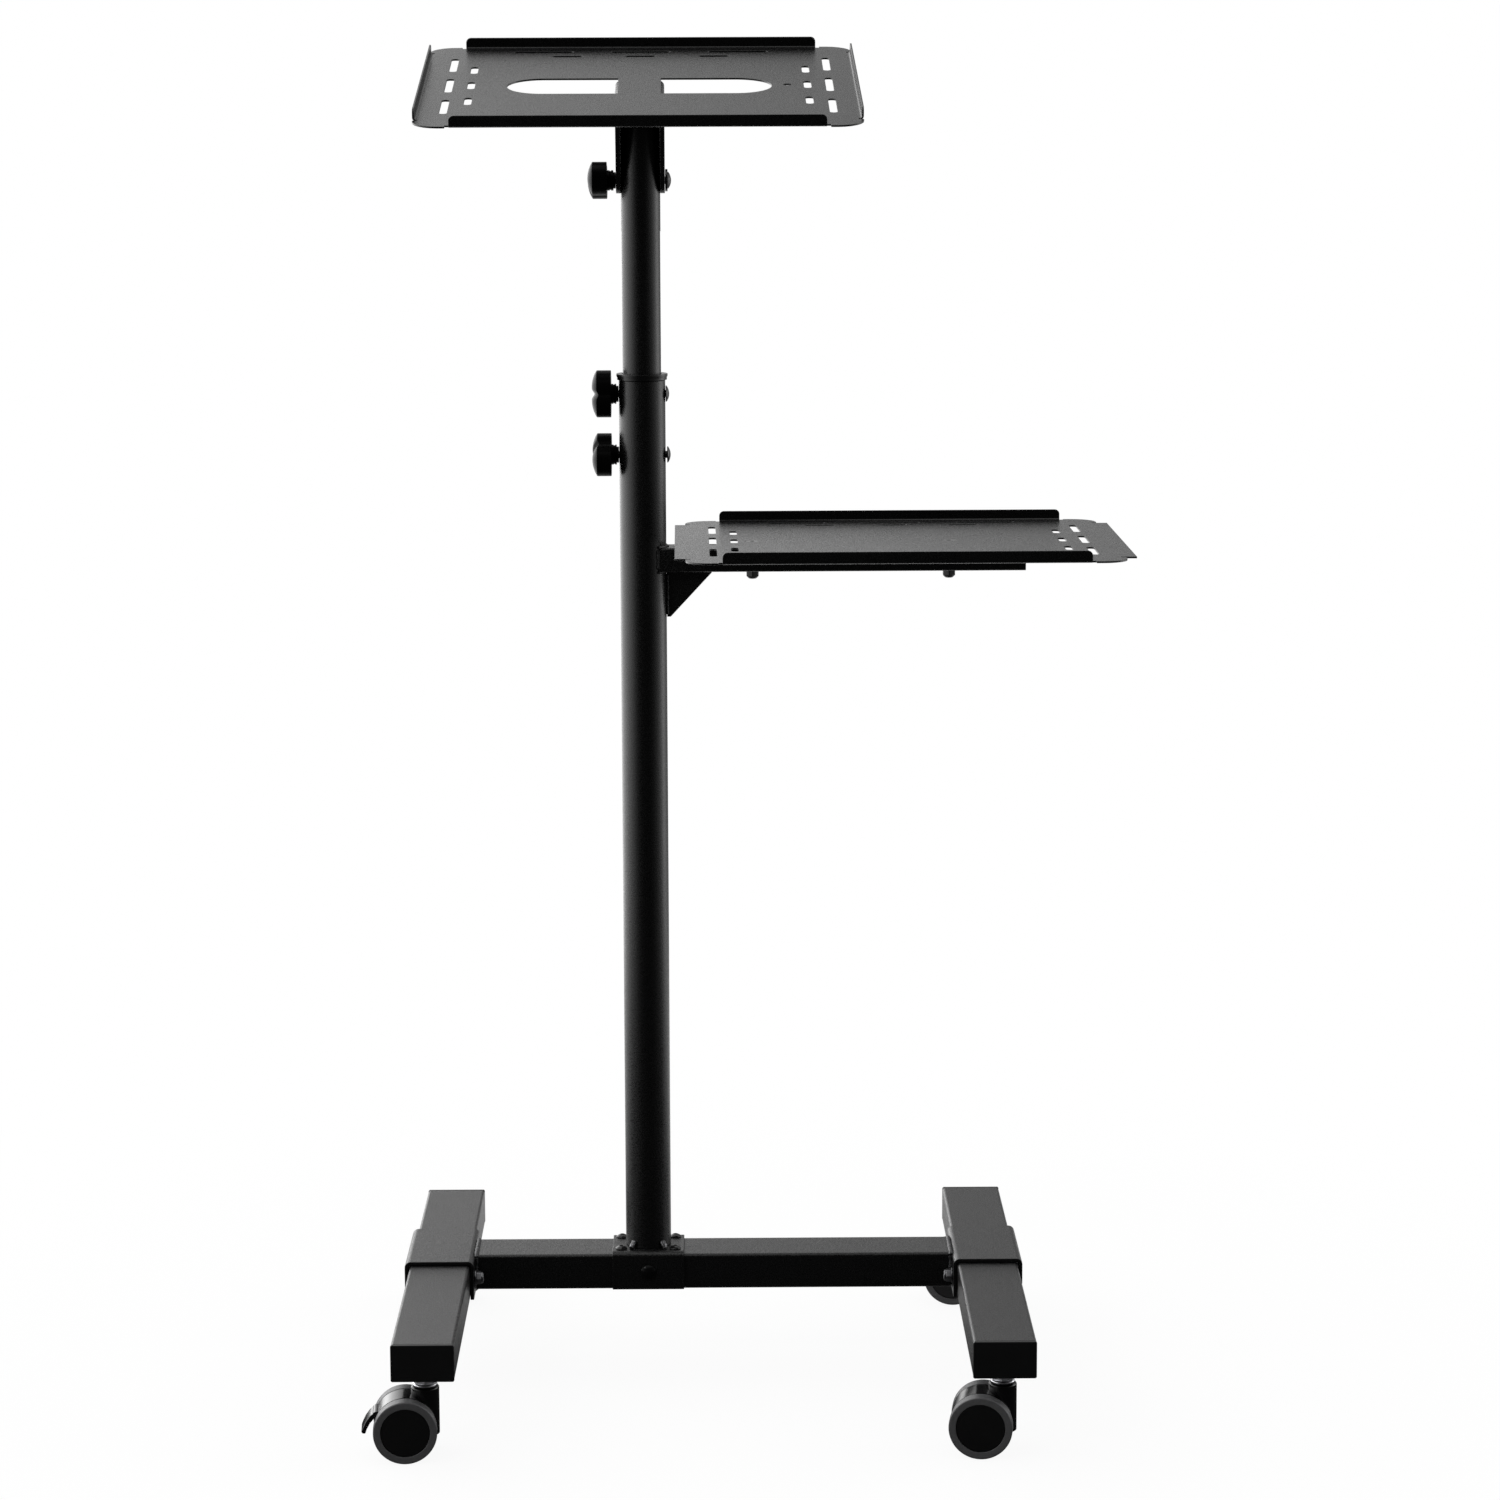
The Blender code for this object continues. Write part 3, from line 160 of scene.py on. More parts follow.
TILT_HUB = 0.0070
UPPER_KNOB_TURN = 0.0
LOWER_KNOB_TURN = radians(-50.0)
TILT_KNOB_TURN = radians(74.0)

SHEET = 0.0015
TRAY_HALF_WIDTH = 0.1753
TRAY_HALF_DEPTH = 0.150
LIP_HEIGHT = 0.0085
LIP_BEND = 0.0015
END_LIP_HALF = 0.146
SIDE_LIP_HALF = 0.125
FLAP_HALF = 0.120
FLAP_OUT = 0.184
LIP_CORNER = 0.004
NOTCH = 0.003
NOTCH_DEPTH = 0.001
TAB_CORNER = 0.02
TRAY_RISE = 0.078
TRAY_TILT = radians(11.5)
TRAY_TURN = radians(0.43)
SHELF_X = 0.2098
SHELF_Z = 0.6985
SLOT_WIDTH = 0.006
LONG_SLOT = 0.0505
SHORT_SLOT = 0.026
SIDE_OUTER_X = 0.1527
SIDE_INNER_X = 0.1351
END_OUTER_Y = 0.131
END_INNER_Y = 0.113
SIDE_PITCHES = (0.07905, 0.05895)
END_PITCHES = (0.0808133, 0.0606538)
CUTOUT_INNER_X = 0.0173
CUTOUT_OUTER_X = 0.1062
CUTOUT_RADIUS = 0.0288
CUTOUT_Y = -0.003
HOLE_X = 0.119
HOLE_RADIUS = 0.0035

BRACKET_SKIN = 0.00377
BRACKET_HALF_WIDTH = 0.0198
BRACKET_BEND = 0.0045
BRACKET_TOP_HALF = 0.026
BRACKET_END_RADIUS = 0.0105

ARM_WIDTH = 0.030
ARM_HEIGHT = 0.020
ARM_WALL = 0.0015
ARM_CORNER = 0.002
ARM_START = 0.011
ARM_END = 0.314
ARM_BORE = 0.08
ARM_SLICE = 0.0024
SHELF_SPACER = 0.0023
SPACER_RADIUS = 0.009
GUSSET_PLATE = 0.004
GUSSET_REACH = 0.037
GUSSET_DROP = 0.038
GUSSET_TIP = 0.003
SHELF_BOLT_LEFT = -0.120
SHELF_BOLT_RIGHT = 0.0418
CSK_RADIUS = 0.0057
NUT_RADIUS = 0.0058
NUT_HEIGHT = 0.005
NUT_END_STEP = 0.0012
NUT_END_SLOPE = 0.0018
SOCKET_DEPTH = 0.0014
SOCKET_FLOOR = 0.0013
SOCKET_BROW = 0.0021

WHEEL_RADIUS = 0.0253
HUB_DISC_RADIUS = 0.0204
WHEEL_INNER_Y = 0.0124
WHEEL_OUTER_Y = 0.024
CASTOR_TRAIL = 0.016
AXLE_RADIUS = 0.003
AXLE_HALF = 0.0211
BARREL_RADIUS = 0.0112
BARREL_TOP = 0.0574
BARREL_BOTTOM = 0.018
BARREL_SLOPE = 0.0014
DISH_DEPTH = 0.0012
DISH_FLOOR = 0.0022
DISH_BROW = 0.0034
FENDER_RADIUS = 0.0252
FENDER_HALF = 0.012
STEM_RADIUS = 0.005
STEM_TOP = 0.084
STEM_NUT_RADIUS = 0.0099
STEM_NUT_HEIGHT = 0.0068
STEM_WASHER_RADIUS = 0.0105
STEM_WASHER = 0.0016
NUT_FLANGE = 0.0022
NUT_FLANGE_SLOPE = 0.0010
FRONT_STEM_Y = -0.24
REAR_STEM_Y = 0.172
LEVER_X = -0.0385
LEVER_Z = 0.036
LEVER_BARREL = 0.0033
LEVER_SEAT = 0.0039
LEVER_HALF = 0.01
LEVER_REACH = 0.0122
LEVER_DROP = 0.0148

# Fineness
ROUND = 72
SMALL_ROUND = 40
BEND_STEPS = 6
BEAD_STEP = 0.0013
MERGE = 0.00001
EDGE = 0.0004
FINE_EDGE = 0.0003


def at(x, y, z):
    return Matrix.Translation((x, y, z))


def spun(angle, axis):
    return Matrix.Rotation(angle, 4, axis)


TO_FLOOR = at(MAST_X, MAST_Y, 0.0)
ALONG_X = spun(pi / 2.0, "Y")
ALONG_MINUS_X = spun(-pi / 2.0, "Y")
ALONG_MINUS_Y = spun(pi / 2.0, "X")
ALONG_Y = spun(-pi / 2.0, "X")
QUARTER_TURN = spun(pi / 2.0, "Z")


# Shader maths
class Value:
    """A number socket whose arithmetic adds Math nodes."""

    def __init__(self, finish, socket):
        self.finish = finish
        self.socket = socket

    def math(self, operation, other):
        return self.finish.node("ShaderNodeMath", {"operation": operation}, {0: self, 1: other})

    def turned(self, operation, other):
        return self.finish.node("ShaderNodeMath", {"operation": operation}, {0: other, 1: self})

    def __add__(self, other):
        return self.math("ADD", other)

    def __sub__(self, other):
        return self.math("SUBTRACT", other)

    def __mul__(self, other):
        return self.math("MULTIPLY", other)

    def __truediv__(self, other):
        return self.math("DIVIDE", other)

    def __radd__(self, other):
        return self.turned("ADD", other)

    def __rsub__(self, other):
        return self.turned("SUBTRACT", other)


class Finish:
    """A node tree with one way to add a node."""

    def __init__(self, tree):
        self.tree = tree

    def node(self, kind, settings, sockets, output=0):
        made = self.tree.nodes.new(kind)
        for key, value in settings.items():
            if key == "stops":
                ramp = made.color_ramp
                while len(ramp.elements) < len(value):
                    ramp.elements.new(1.0)
                for element, (place, level) in zip(ramp.elements, value):
                    element.position = place
                    element.color = (level, level, level, 1.0)
            else:
                setattr(made, key, value)
        for key, value in sockets.items():
            if isinstance(value, Value):
                self.tree.links.new(value.socket, made.inputs[key])
            else:
                made.inputs[key].default_value = value
        return Value(self, made.outputs[output])

    def feed(self, node, key, value):
        self.tree.links.new(value.socket, node.inputs[key])

    def place(self, scale=(1.0, 1.0, 1.0)):
        coordinates = self.node("ShaderNodeTexCoord", {}, {}, "Object")
        return self.node("ShaderNodeMapping", {}, {"Vector": coordinates, "Scale": scale})

    def noise(self, where, scale, detail=2.0, roughness=0.5):
        sockets = {"Vector": where, "Scale": scale, "Detail": detail, "Roughness": roughness}
        return self.node("ShaderNodeTexNoise", {}, sockets)

    def band(self, value, low, high):
        """0 below low, 1 above high, and soft in between."""
        settings = {"interpolation_type": "SMOOTHSTEP"}
        sockets = {"Value": value, "From Min": low, "From Max": high}
        return self.node("ShaderNodeMapRange", settings, sockets)

    def blend(self, factor, first, second):
        settings = {"data_type": "RGBA"}
        return self.node("ShaderNodeMix", settings, {0: factor, 6: first, 7: second}, 2)

    def bump(self, height, strength, distance):
        sockets = {"Height": height, "Strength": strength, "Distance": distance}
        return self.node("ShaderNodeBump", {}, sockets)


def surface(name):
    mat = bpy.data.materials.new(name)
    mat.use_nodes = True
    return mat, Finish(mat.node_tree), mat.node_tree.nodes["Principled BSDF"]


def skinned(finish, shader, colour, roughness, bump):
    finish.feed(shader, "Base Color", colour)
    finish.feed(shader, "Roughness", roughness)
    finish.feed(shader, "Normal", bump)


def black(level):
    return (level, level, level * 1.04, 1.0)


COAT_BLACK = 0.0022
COAT_GRAIN = 1300.0


def coated_steel(name, roughness, spread, height):
    """Black powder coat: a fine pebbled skin, duller from fleck to fleck."""
    mat, finish, shader = surface(name)
    where = finish.place()
    pebbles = finish.noise(where, COAT_GRAIN, roughness=0.55)
    flow = finish.noise(where, COAT_GRAIN * 0.12)
    wear = finish.noise(where, 9.0, 3.0, 0.6)
    flecks = finish.band(finish.noise(where, COAT_GRAIN * 0.8, 1.0), 0.38, 0.62)
    skinned(finish, shader, finish.blend(flecks, black(COAT_BLACK * 0.6), black(COAT_BLACK * 1.6)),
            roughness - spread / 2.0 + (flecks * 0.8 + wear * 0.2) * spread,
            finish.bump(pebbles * 0.5 + flecks * 0.3 + flow * 0.2, 1.0, height))
    return mat


def moulded_plastic(name, colour, roughness, height, shine=0.5):
    """Black plastic with a light mould texture."""
    mat, finish, shader = surface(name)
    shader.inputs["Specular IOR Level"].default_value = shine
    where = finish.place()
    grain = finish.noise(where, 2600.0)
    slow = finish.noise(where, 60.0)
    skinned(finish, shader, finish.blend(slow, black(colour * 0.85), black(colour * 1.25)),
            roughness - 0.04 + slow * 0.08, finish.bump(grain, 0.2, height))
    return mat


def zinc_plate(name, low, high):
    """Zinc plate with fine spangle and faint smears."""
    mat, finish, shader = surface(name)
    where = finish.place()
    spangle = finish.node("ShaderNodeTexVoronoi", {"feature": "F1"}, {"Vector": where, "Scale": 700.0})
    smear = finish.noise(finish.place((1.0, 1.0, 6.0)), 500.0, 3.0, 0.6)
    skinned(finish, shader, finish.blend(smear, black(low), black(high)), 0.22 + smear * 0.16,
            finish.bump(smear * 0.6 + spangle * 0.4, 0.25, 0.00005))
    shader.inputs["Metallic"].default_value = 1.0
    return mat


def black_bolt_steel(name, shine=0.5):
    """Blackened bolt steel, oily and rather glossy."""
    mat, finish, shader = surface(name)
    shader.inputs["Specular IOR Level"].default_value = shine
    smear = finish.noise(finish.place(), 900.0, 3.0, 0.6)
    skinned(finish, shader, finish.blend(smear, black(0.002), black(0.006)), 0.12 + smear * 0.12,
            finish.bump(smear, 0.2, 0.00004))
    return mat


def tyre_rubber(name):
    """Dark grey tyre, a little dusty on the tread."""
    mat, finish, shader = surface(name)
    where = finish.place()
    dust = finish.noise(where, 420.0, 3.0, 0.6)
    grain = finish.noise(where, 2400.0)
    skinned(finish, shader, finish.blend(dust, (0.085, 0.085, 0.087, 1.0), (0.125, 0.125, 0.128, 1.0)),
            0.34 + dust * 0.16, finish.bump(grain * 0.6 + dust * 0.4, 0.3, 0.0001))
    return mat


def weld(name, bare_from, silver=0.13):
    """Weld bead under the coat, lumpy, and silvery where a noise passes bare_from."""
    mat, finish, shader = surface(name)
    where = finish.place()
    lumps = finish.noise(where, 900.0, 3.0, 0.6)
    bare = finish.band(finish.noise(where, 620.0, 3.0, 0.6), bare_from, bare_from + 0.2)
    finish.feed(shader, "Metallic", bare)
    skinned(finish, shader, finish.blend(bare, black(0.004), black(silver)), 0.26 + lumps * 0.3,
            finish.bump(lumps, 0.8, 0.0005))
    return mat


FRAME_COAT = coated_steel("frame_powder_coat", roughness=0.33, spread=0.20, height=0.00020)
SHEET_COAT = coated_steel("sheet_powder_coat", roughness=0.24, spread=0.14, height=0.00012)
MAST_COAT = coated_steel("mast_powder_coat", roughness=0.31, spread=0.14, height=0.00008)
PLASTIC = moulded_plastic("castor_plastic", colour=0.0045, roughness=0.34, height=0.00005)
KNOB_PLASTIC = moulded_plastic("knob_plastic", colour=0.0018, roughness=0.34, height=0.00006, shine=0.05)
ZINC = zinc_plate("zinc_plate", low=0.78, high=0.96)
# A darker copy of the zinc plate for the saddle bolts: partly a duller plating, partly painted shade for
# nuts that sit in shade by the saddle.
SHADED_ZINC = zinc_plate("shaded_zinc_plate", low=0.10, high=0.24)
BOLT_STEEL = black_bolt_steel("black_bolt_steel")
DULL_STEEL = black_bolt_steel("dull_bolt_steel", shine=0.1)
TYRE = tyre_rubber("grey_tyre")
HOOD_PLASTIC = moulded_plastic("hood_plastic", colour=0.0030, roughness=0.16, height=0.00003)
BUSH_PLASTIC = moulded_plastic("bush_plastic", colour=0.0030, roughness=0.28, height=0.00004)
WELD = weld("bare_weld", bare_from=0.46)
BRIGHT_WELD = weld("bright_weld", bare_from=0.44, silver=0.26)
COATED_WELD = weld("coated_weld", bare_from=0.66)


# Shaping
def arc(cx, cy, radius, start, end, steps):
    angles = [start + (end - start) * i / steps for i in range(steps + 1)]
    return [(cx + radius * cos(a), cy + radius * sin(a)) for a in angles]


def moved(bm, matrix):
    bmesh.ops.transform(bm, matrix=matrix, verts=bm.verts)
    return bm


def only(kind, geom):
    return [item for item in geom if isinstance(item, kind)]


def bevelled(bm, geom, width, segments, affect="EDGES"):
    bmesh.ops.bevel(bm, geom=geom, offset=width, offset_type="OFFSET", segments=segments,
                    profile=0.5, affect=affect, clamp_overlap=True, material=-1)
    return bm


def softened(bm, width, segments=3, sharper=30.0):
    """Rounds every edge that is sharper than an angle."""
    edges = [e for e in bm.edges if e.is_manifold and e.calc_face_angle() > radians(sharper)]
    return bevelled(bm, edges, width, segments)


def outward(bm):
    bmesh.ops.remove_doubles(bm, verts=bm.verts, dist=MERGE)
    bmesh.ops.recalc_face_normals(bm, faces=bm.faces)
    return bm


def highest(bm):
    return max(bm.faces, key=lambda f: f.calc_center_median().z)


def facing_up(bm, face):
    """Turns all the faces over if the given one looks down."""
    if face.normal.z < 0.0:
        bmesh.ops.reverse_faces(bm, faces=bm.faces)
    return bm


def turned(points, steps, edge=EDGE, segments=3, closed=False):
    """A line of (radius, height) points spun once round Z."""
    bm = bmesh.new()
    verts = [bm.verts.new((radius, 0.0, height)) for radius, height in points]
    for pair in zip(verts, verts[1:]):
        bm.edges.new(pair)
    if closed:
        bm.edges.new((verts[-1], verts[0]))
    bmesh.ops.spin(bm, geom=bm.verts[:] + bm.edges[:], cent=(0.0, 0.0, 0.0), axis=(0.0, 0.0, 1.0),
                   angle=2.0 * pi, steps=steps, use_merge=True)
    outward(bm)
    if edge > 0.0:
        softened(bm, edge, segments)
    return bm


def joined(first, *others):
    """Adds the meshes of others to the first."""
    for other in others:
        holder = bpy.data.meshes.new("joined")
        other.to_mesh(holder)
        other.free()
        first.from_mesh(holder)
        bpy.data.meshes.remove(holder)
    return first


def prism(outline, thickness, edge=EDGE, segments=3):
    """A flat outline in X, Y given a thickness along Z, centred on Z = 0."""
    bm = bmesh.new()
    face = bm.faces.new([bm.verts.new((x, y, -thickness / 2.0)) for x, y in outline])
    raised = bmesh.ops.extrude_face_region(bm, geom=[face])["geom"]
    bmesh.ops.translate(bm, vec=(0.0, 0.0, thickness), verts=only(bmesh.types.BMVert, raised))
    outward(bm)
    if edge > 0.0:
        softened(bm, edge, segments, 40.0)
    return bm


def square_tube(width, length, height, corner, wall=0.0, depth=0.0):
    """A tube along Y with round long edges; a wall opens its -Y end to a depth."""
    bm = bmesh.new()
    bmesh.ops.create_cube(bm, size=1.0, matrix=Matrix.Diagonal((width, length, height, 1.0)))
    along = [e for e in bm.edges if abs(e.verts[0].co.y - e.verts[1].co.y) > length / 2.0]
    bevelled(bm, along, corner, BEND_STEPS)
    if wall > 0.0:
        ends = [f for f in bm.faces if f.normal.y < -0.9]
        bmesh.ops.inset_individual(bm, faces=ends, thickness=wall, use_even_offset=True)
        for end in ends:
            inward = -end.normal.copy() * depth
            sunk = bmesh.ops.extrude_discrete_faces(bm, faces=[end])["faces"][0]
            bmesh.ops.translate(bm, vec=inward, verts=sunk.verts)
    return bm


def bent_channel(left, right, top, left_drop, right_drop, bend, length):
    """The outer skin of a plate bent down at both sides, extruded along Y."""
    bm = bmesh.new()
    corners = [(left, top - left_drop), (left, top), (right, top), (right, top - right_drop)]
    verts = [bm.verts.new((x, -length / 2.0, z)) for x, z in corners]
    edges = [bm.edges.new(pair) for pair in zip(verts, verts[1:])]
    grown = bmesh.ops.extrude_edge_only(bm, edges=edges)["geom"]
    bmesh.ops.translate(bm, vec=(0.0, length, 0.0), verts=only(bmesh.types.BMVert, grown))
    bevelled(bm, [e for e in bm.edges if e.is_manifold], bend, BEND_STEPS)
    bmesh.ops.recalc_face_normals(bm, faces=bm.faces)
    return facing_up(bm, highest(bm))


def bar(radius, low, high):
    """Points of a full round bar, from its upper middle to its lower one."""
    return [(0.0, high), (radius, high), (radius, low), (0.0, low)]


def dome(radius, height, steps, base=0.0):
    """Points of a shallow cap from its top on the axis down to its rim."""
    sphere = (radius * radius + height * height) / (2.0 * height)
    spots = [radius * i / steps for i in range(steps + 1)]
    return [(r, base + height - sphere + sqrt(sphere * sphere - r * r)) for r in spots]


def bead(points, radius, squash=0.8, seed=0.0):
    """A weld bead: a ring carried along points, swelling and shrinking in ripples."""
    spots = [Vector(point) for point in points]
    bm = bmesh.new()
    ring = bmesh.ops.create_circle(bm, cap_ends=False, segments=10, radius=radius)["verts"]
    bmesh.ops.scale(bm, vec=(1.0, squash, 1.0), verts=ring)
    edges = list(bm.edges)
    bm.faces.new(ring)
    turn = (spots[1] - spots[0]).to_track_quat("Z", "Y").to_matrix().to_4x4()
    step = at(*spots[0]) @ turn
    bmesh.ops.transform(bm, matrix=step, verts=ring)
    size = 1.0
    for i, spot in enumerate(spots[1:], 1):
        grown = bmesh.ops.extrude_edge_only(bm, edges=edges)["geom"]
        ring = only(bmesh.types.BMVert, grown)
        edges = only(bmesh.types.BMEdge, grown)
        ahead = spots[min(i + 1, len(spots) - 1)] - spots[i - 1]
        turn = ahead.to_track_quat("Z", "Y").to_matrix().to_4x4()
        swell = 1.0 + 0.13 * sin(i * 2.1 + seed) + 0.12 * sin(i * 0.83 + seed) + 0.08 * sin(i * 5.3)
        if i == len(spots) - 1:
            swell = 0.45
        bmesh.ops.transform(bm, matrix=step.inverted(), verts=ring)
        bmesh.ops.scale(bm, vec=(swell / size, swell / size, 1.0), verts=ring)
        step = at(*spot) @ turn
        bmesh.ops.transform(bm, matrix=step, verts=ring)
        size = swell
    bmesh.ops.contextual_create(bm, geom=edges)
    return outward(bm)


def between(first, last, gap):
    """Points from first to last, about a gap apart."""
    first, last = Vector(first), Vector(last)
    count = max(2, round((last - first).length / gap))
    return [first.lerp(last, i / count) for i in range(count + 1)]


# Putting a piece in its place
def linked(name, data):
    obj = bpy.data.objects.new(name, data)
    bpy.context.scene.collection.objects.link(obj)
    return obj


def piece(name, bm, finish, body, plate=0.0, edge=0.0, segments=2, nodes=()):
    mesh = bpy.data.meshes.new(name)
    moved(bm, TO_FLOOR).to_mesh(mesh)
    bm.free()
    mesh.shade_smooth()
    mesh.set_sharp_from_angle(angle=radians(50.0))
    mesh.materials.append(finish)
    obj = linked(name, mesh)
    if plate > 0.0:
        wall = obj.modifiers.new("Plate", "SOLIDIFY")
        wall.thickness = plate
        wall.offset = -1.0
        wall.use_even_offset = True
    if edge > 0.0:
        bevel = obj.modifiers.new("Edge", "BEVEL")
        bevel.width = edge
        bevel.segments = segments
        bevel.limit_method = "ANGLE"
        bevel.angle_limit = radians(40.0)
    normals = obj.modifiers.new("Flats", "WEIGHTED_NORMAL")
    normals.keep_sharp = True
    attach(obj, body)
    if nodes:
        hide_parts(*nodes)
    return obj


def instead(node, bm, finish, plate=0.0, edge=0.0, segments=2):
    """A finer piece in the place of one solid, on that solid's body."""
    body = body_of(frame["nodes"][node])[0]
    return piece("fine_" + node, bm, finish, body, plate, edge, segments, (node,))


# Base
LEG_MIDDLE = TUBE_BOTTOM + TUBE_HEIGHT / 2.0
HALF_TUBE = TUBE_WIDTH / 2.0
SADDLE_TOP = TUBE_TOP + GAP + SADDLE_PLATE
FOOT_SIDE = HALF_TUBE + GAP + FOOT_PLATE
FOOT_TOP = BEAM_TOP + GAP + FOOT_PLATE


def leg(side, x):
    front = LEG_FRONT + PLUG_FLANGE + GAP
    back = LEG_BACK - PLUG_FLANGE - GAP
    tube = square_tube(TUBE_WIDTH, back - front, TUBE_HEIGHT, TUBE_CORNER)
    instead(side + "_leg", moved(tube, at(x, (front + back) / 2.0, LEG_MIDDLE)), FRAME_COAT, edge=EDGE)
    for end, y in (("front", LEG_FRONT + PLUG_FLANGE / 2.0), ("rear", LEG_BACK - PLUG_FLANGE / 2.0)):
        flange = square_tube(TUBE_WIDTH, PLUG_FLANGE, TUBE_HEIGHT, PLUG_CORNER)
        moved(flange, at(x, y, LEG_MIDDLE))
        instead("%s_leg_%s_plug" % (side, end), flange, PLASTIC, edge=PLUG_EDGE, segments=3)


def saddle(side, x, inward):
    """A plate bent over the leg, deeper on the beam's side."""
    flanges = [(SADDLE_OUTER_FACE, SADDLE_OUTER_DROP), (SADDLE_INNER_FACE, SADDLE_INNER_DROP)]
    (left, left_drop), (right, right_drop) = flanges[::inward]
    plate = bent_channel(-left, right, SADDLE_TOP, left_drop, right_drop, SADDLE_BEND, SADDLE_LENGTH)
    instead(side + "_saddle", moved(plate, at(x, 0.0, 0.0)), FRAME_COAT, plate=SADDLE_PLATE, edge=EDGE)


def hexagon(radius, height, edge):
    bm = bmesh.new()
    bmesh.ops.create_cone(bm, cap_ends=True, segments=6, radius1=radius, radius2=radius, depth=height)
    return softened(bm, edge, 2)


def saddle_bolt(side, x, inward):
    """Washer, lock nut with its round collar, and the bolt's end inside the collar."""
    along = ALONG_X if inward > 0 else ALONG_MINUS_X
    base = SADDLE_WASHER + SADDLE_HEX
    tip = base + COLLAR
    seat = tip - BOLT_END_DEPTH
    washer = turned(bar(SADDLE_WASHER_RADIUS, 0.0, SADDLE_WASHER), SMALL_ROUND, FINE_EDGE)
    nut = hexagon(SADDLE_HEX_RADIUS, SADDLE_HEX, 0.0005)
    moved(nut, at(0.0, 0.0, SADDLE_WASHER + SADDLE_HEX / 2.0))
    collar = turned([(0.0, tip - 0.0006), (BOLT_RADIUS - BOLT_END_SLOPE, tip - 0.0003),
                     (BOLT_RADIUS, seat), (BOLT_RADIUS + 0.0004, seat), (COLLAR_RADIUS - COLLAR_SLOPE, tip),
                     (COLLAR_RADIUS, tip - COLLAR_SLOPE), (COLLAR_RADIUS, base - 0.0005)],
                    SMALL_ROUND, 0.00025)
    spot = at(x + inward * (SADDLE_INNER_FACE + GAP), SADDLE_BOLT_Y, SADDLE_BOLT_Z)
    # The saddle bolts take the darker zinc copy, with painted shade in its colour.
    instead(side + "_saddle_bolt", moved(joined(washer, collar, nut), spot @ along), SHADED_ZINC)


def cross_beam():
    left = LEFT_LEG_X + SADDLE_INNER_FACE + GAP
    right = RIGHT_LEG_X - SADDLE_INNER_FACE - GAP
    tube = square_tube(TUBE_WIDTH, right - left, TUBE_HEIGHT, TUBE_CORNER)
    middle = at((left + right) / 2.0, 0.0, BEAM_TOP - TUBE_HEIGHT / 2.0)
    instead("cross_beam", moved(tube, middle @ QUARTER_TURN), FRAME_COAT, edge=EDGE)


def mast_foot():
    length = 2.0 * FOOT_HALF_LENGTH
    plate = bent_channel(-FOOT_SIDE, FOOT_SIDE, FOOT_TOP, FOOT_DROP, FOOT_DROP, FOOT_BEND, length)
    instead("mast_foot", moved(plate, QUARTER_TURN), FRAME_COAT, plate=FOOT_PLATE, edge=EDGE)


def domed_head(radius, height, washer=None, socket=0.0, depth=0.0):
    """Points of a button head from its middle to its seat, with a socket or a washer."""
    base = washer[1] if washer else 0.0
    rim = height / 4.0
    points = dome(radius, height - rim, 8, base + rim) + [(radius, base)]
    if socket > 0.0:
        brow = max(z for r, z in points if r >= socket)
        outer = [point for point in points if point[0] > socket]
        points = [(0.0, brow - depth), (socket, brow - depth), (socket, brow)] + outer
    if washer:
        points += [(washer[0], washer[1]), (washer[0], 0.0)]
    return points + [(0.0, 0.0)]


def foot_bolts():
    button = domed_head(FOOT_HEAD_RADIUS, FOOT_HEAD_HEIGHT, None, FOOT_SOCKET_RADIUS, FOOT_SOCKET_DEPTH)
    for i, (sx, sy) in enumerate(((-1, -1), (1, -1), (-1, 1), (1, 1))):
        spot = at(sx * FOOT_BOLT_X, sy * FOOT_BOLT_Y, FOOT_TOP + GAP)
        instead("foot_bolt_%d" % (i + 1), moved(turned(button, SMALL_ROUND, 0.0002), spot), BOLT_STEEL)
    head = turned(domed_head(BOLT_HEAD_RADIUS, FRONT_HEAD_HEIGHT), SMALL_ROUND, FINE_EDGE)
    spot = at(0.0, -FOOT_SIDE - GAP, FRONT_BOLT_Z) @ ALONG_MINUS_Y
    instead("foot_front_bolt", moved(head, spot), DULL_STEEL)


SADDLE_BEAD = 0.0018
SADDLE_BEAD_LENGTH = 0.021
TACK = 0.0023
TACK_STEP = 0.0011
TACK_RISE = 0.0056
TACK_REACH = 0.0050
TACK_TURNS = (-52.0, -128.0, 52.0, 128.0)


def base_welds():
    """The beam's beads on both saddles and the mast's tacks on its foot."""
    for side, x, inward, seed in (("left", LEFT_LEG_X, 1, 0.4), ("right", RIGHT_LEG_X, -1, 2.2)):
        edge = x + inward * (SADDLE_INNER_FACE + 0.0008)
        corner = -HALF_TUBE - 0.0002
        low = BEAM_TOP - SADDLE_BEAD_LENGTH
        path = between((edge, HALF_TUBE - 0.003, BEAM_TOP), (edge, corner + 0.002, BEAM_TOP), BEAD_STEP)
        path += between((edge, corner, BEAM_TOP - 0.0012), (edge, corner, low), BEAD_STEP)
        piece(side + "_saddle_weld", bead(path, SADDLE_BEAD, 0.8, seed), WELD, "base")
    upper = (MAST_RADIUS, 0.0, FOOT_TOP + TACK_RISE)
    lower = (MAST_RADIUS + TACK_REACH, 0.0, FOOT_TOP + 0.0004)
    for i, degrees in enumerate(TACK_TURNS):
        tack = bead(between(upper, lower, TACK_STEP), TACK, 0.8, float(i))
        piece("mast_weld_%d" % (i + 1), moved(tack, spun(radians(degrees), "Z")), BRIGHT_WELD, "base")


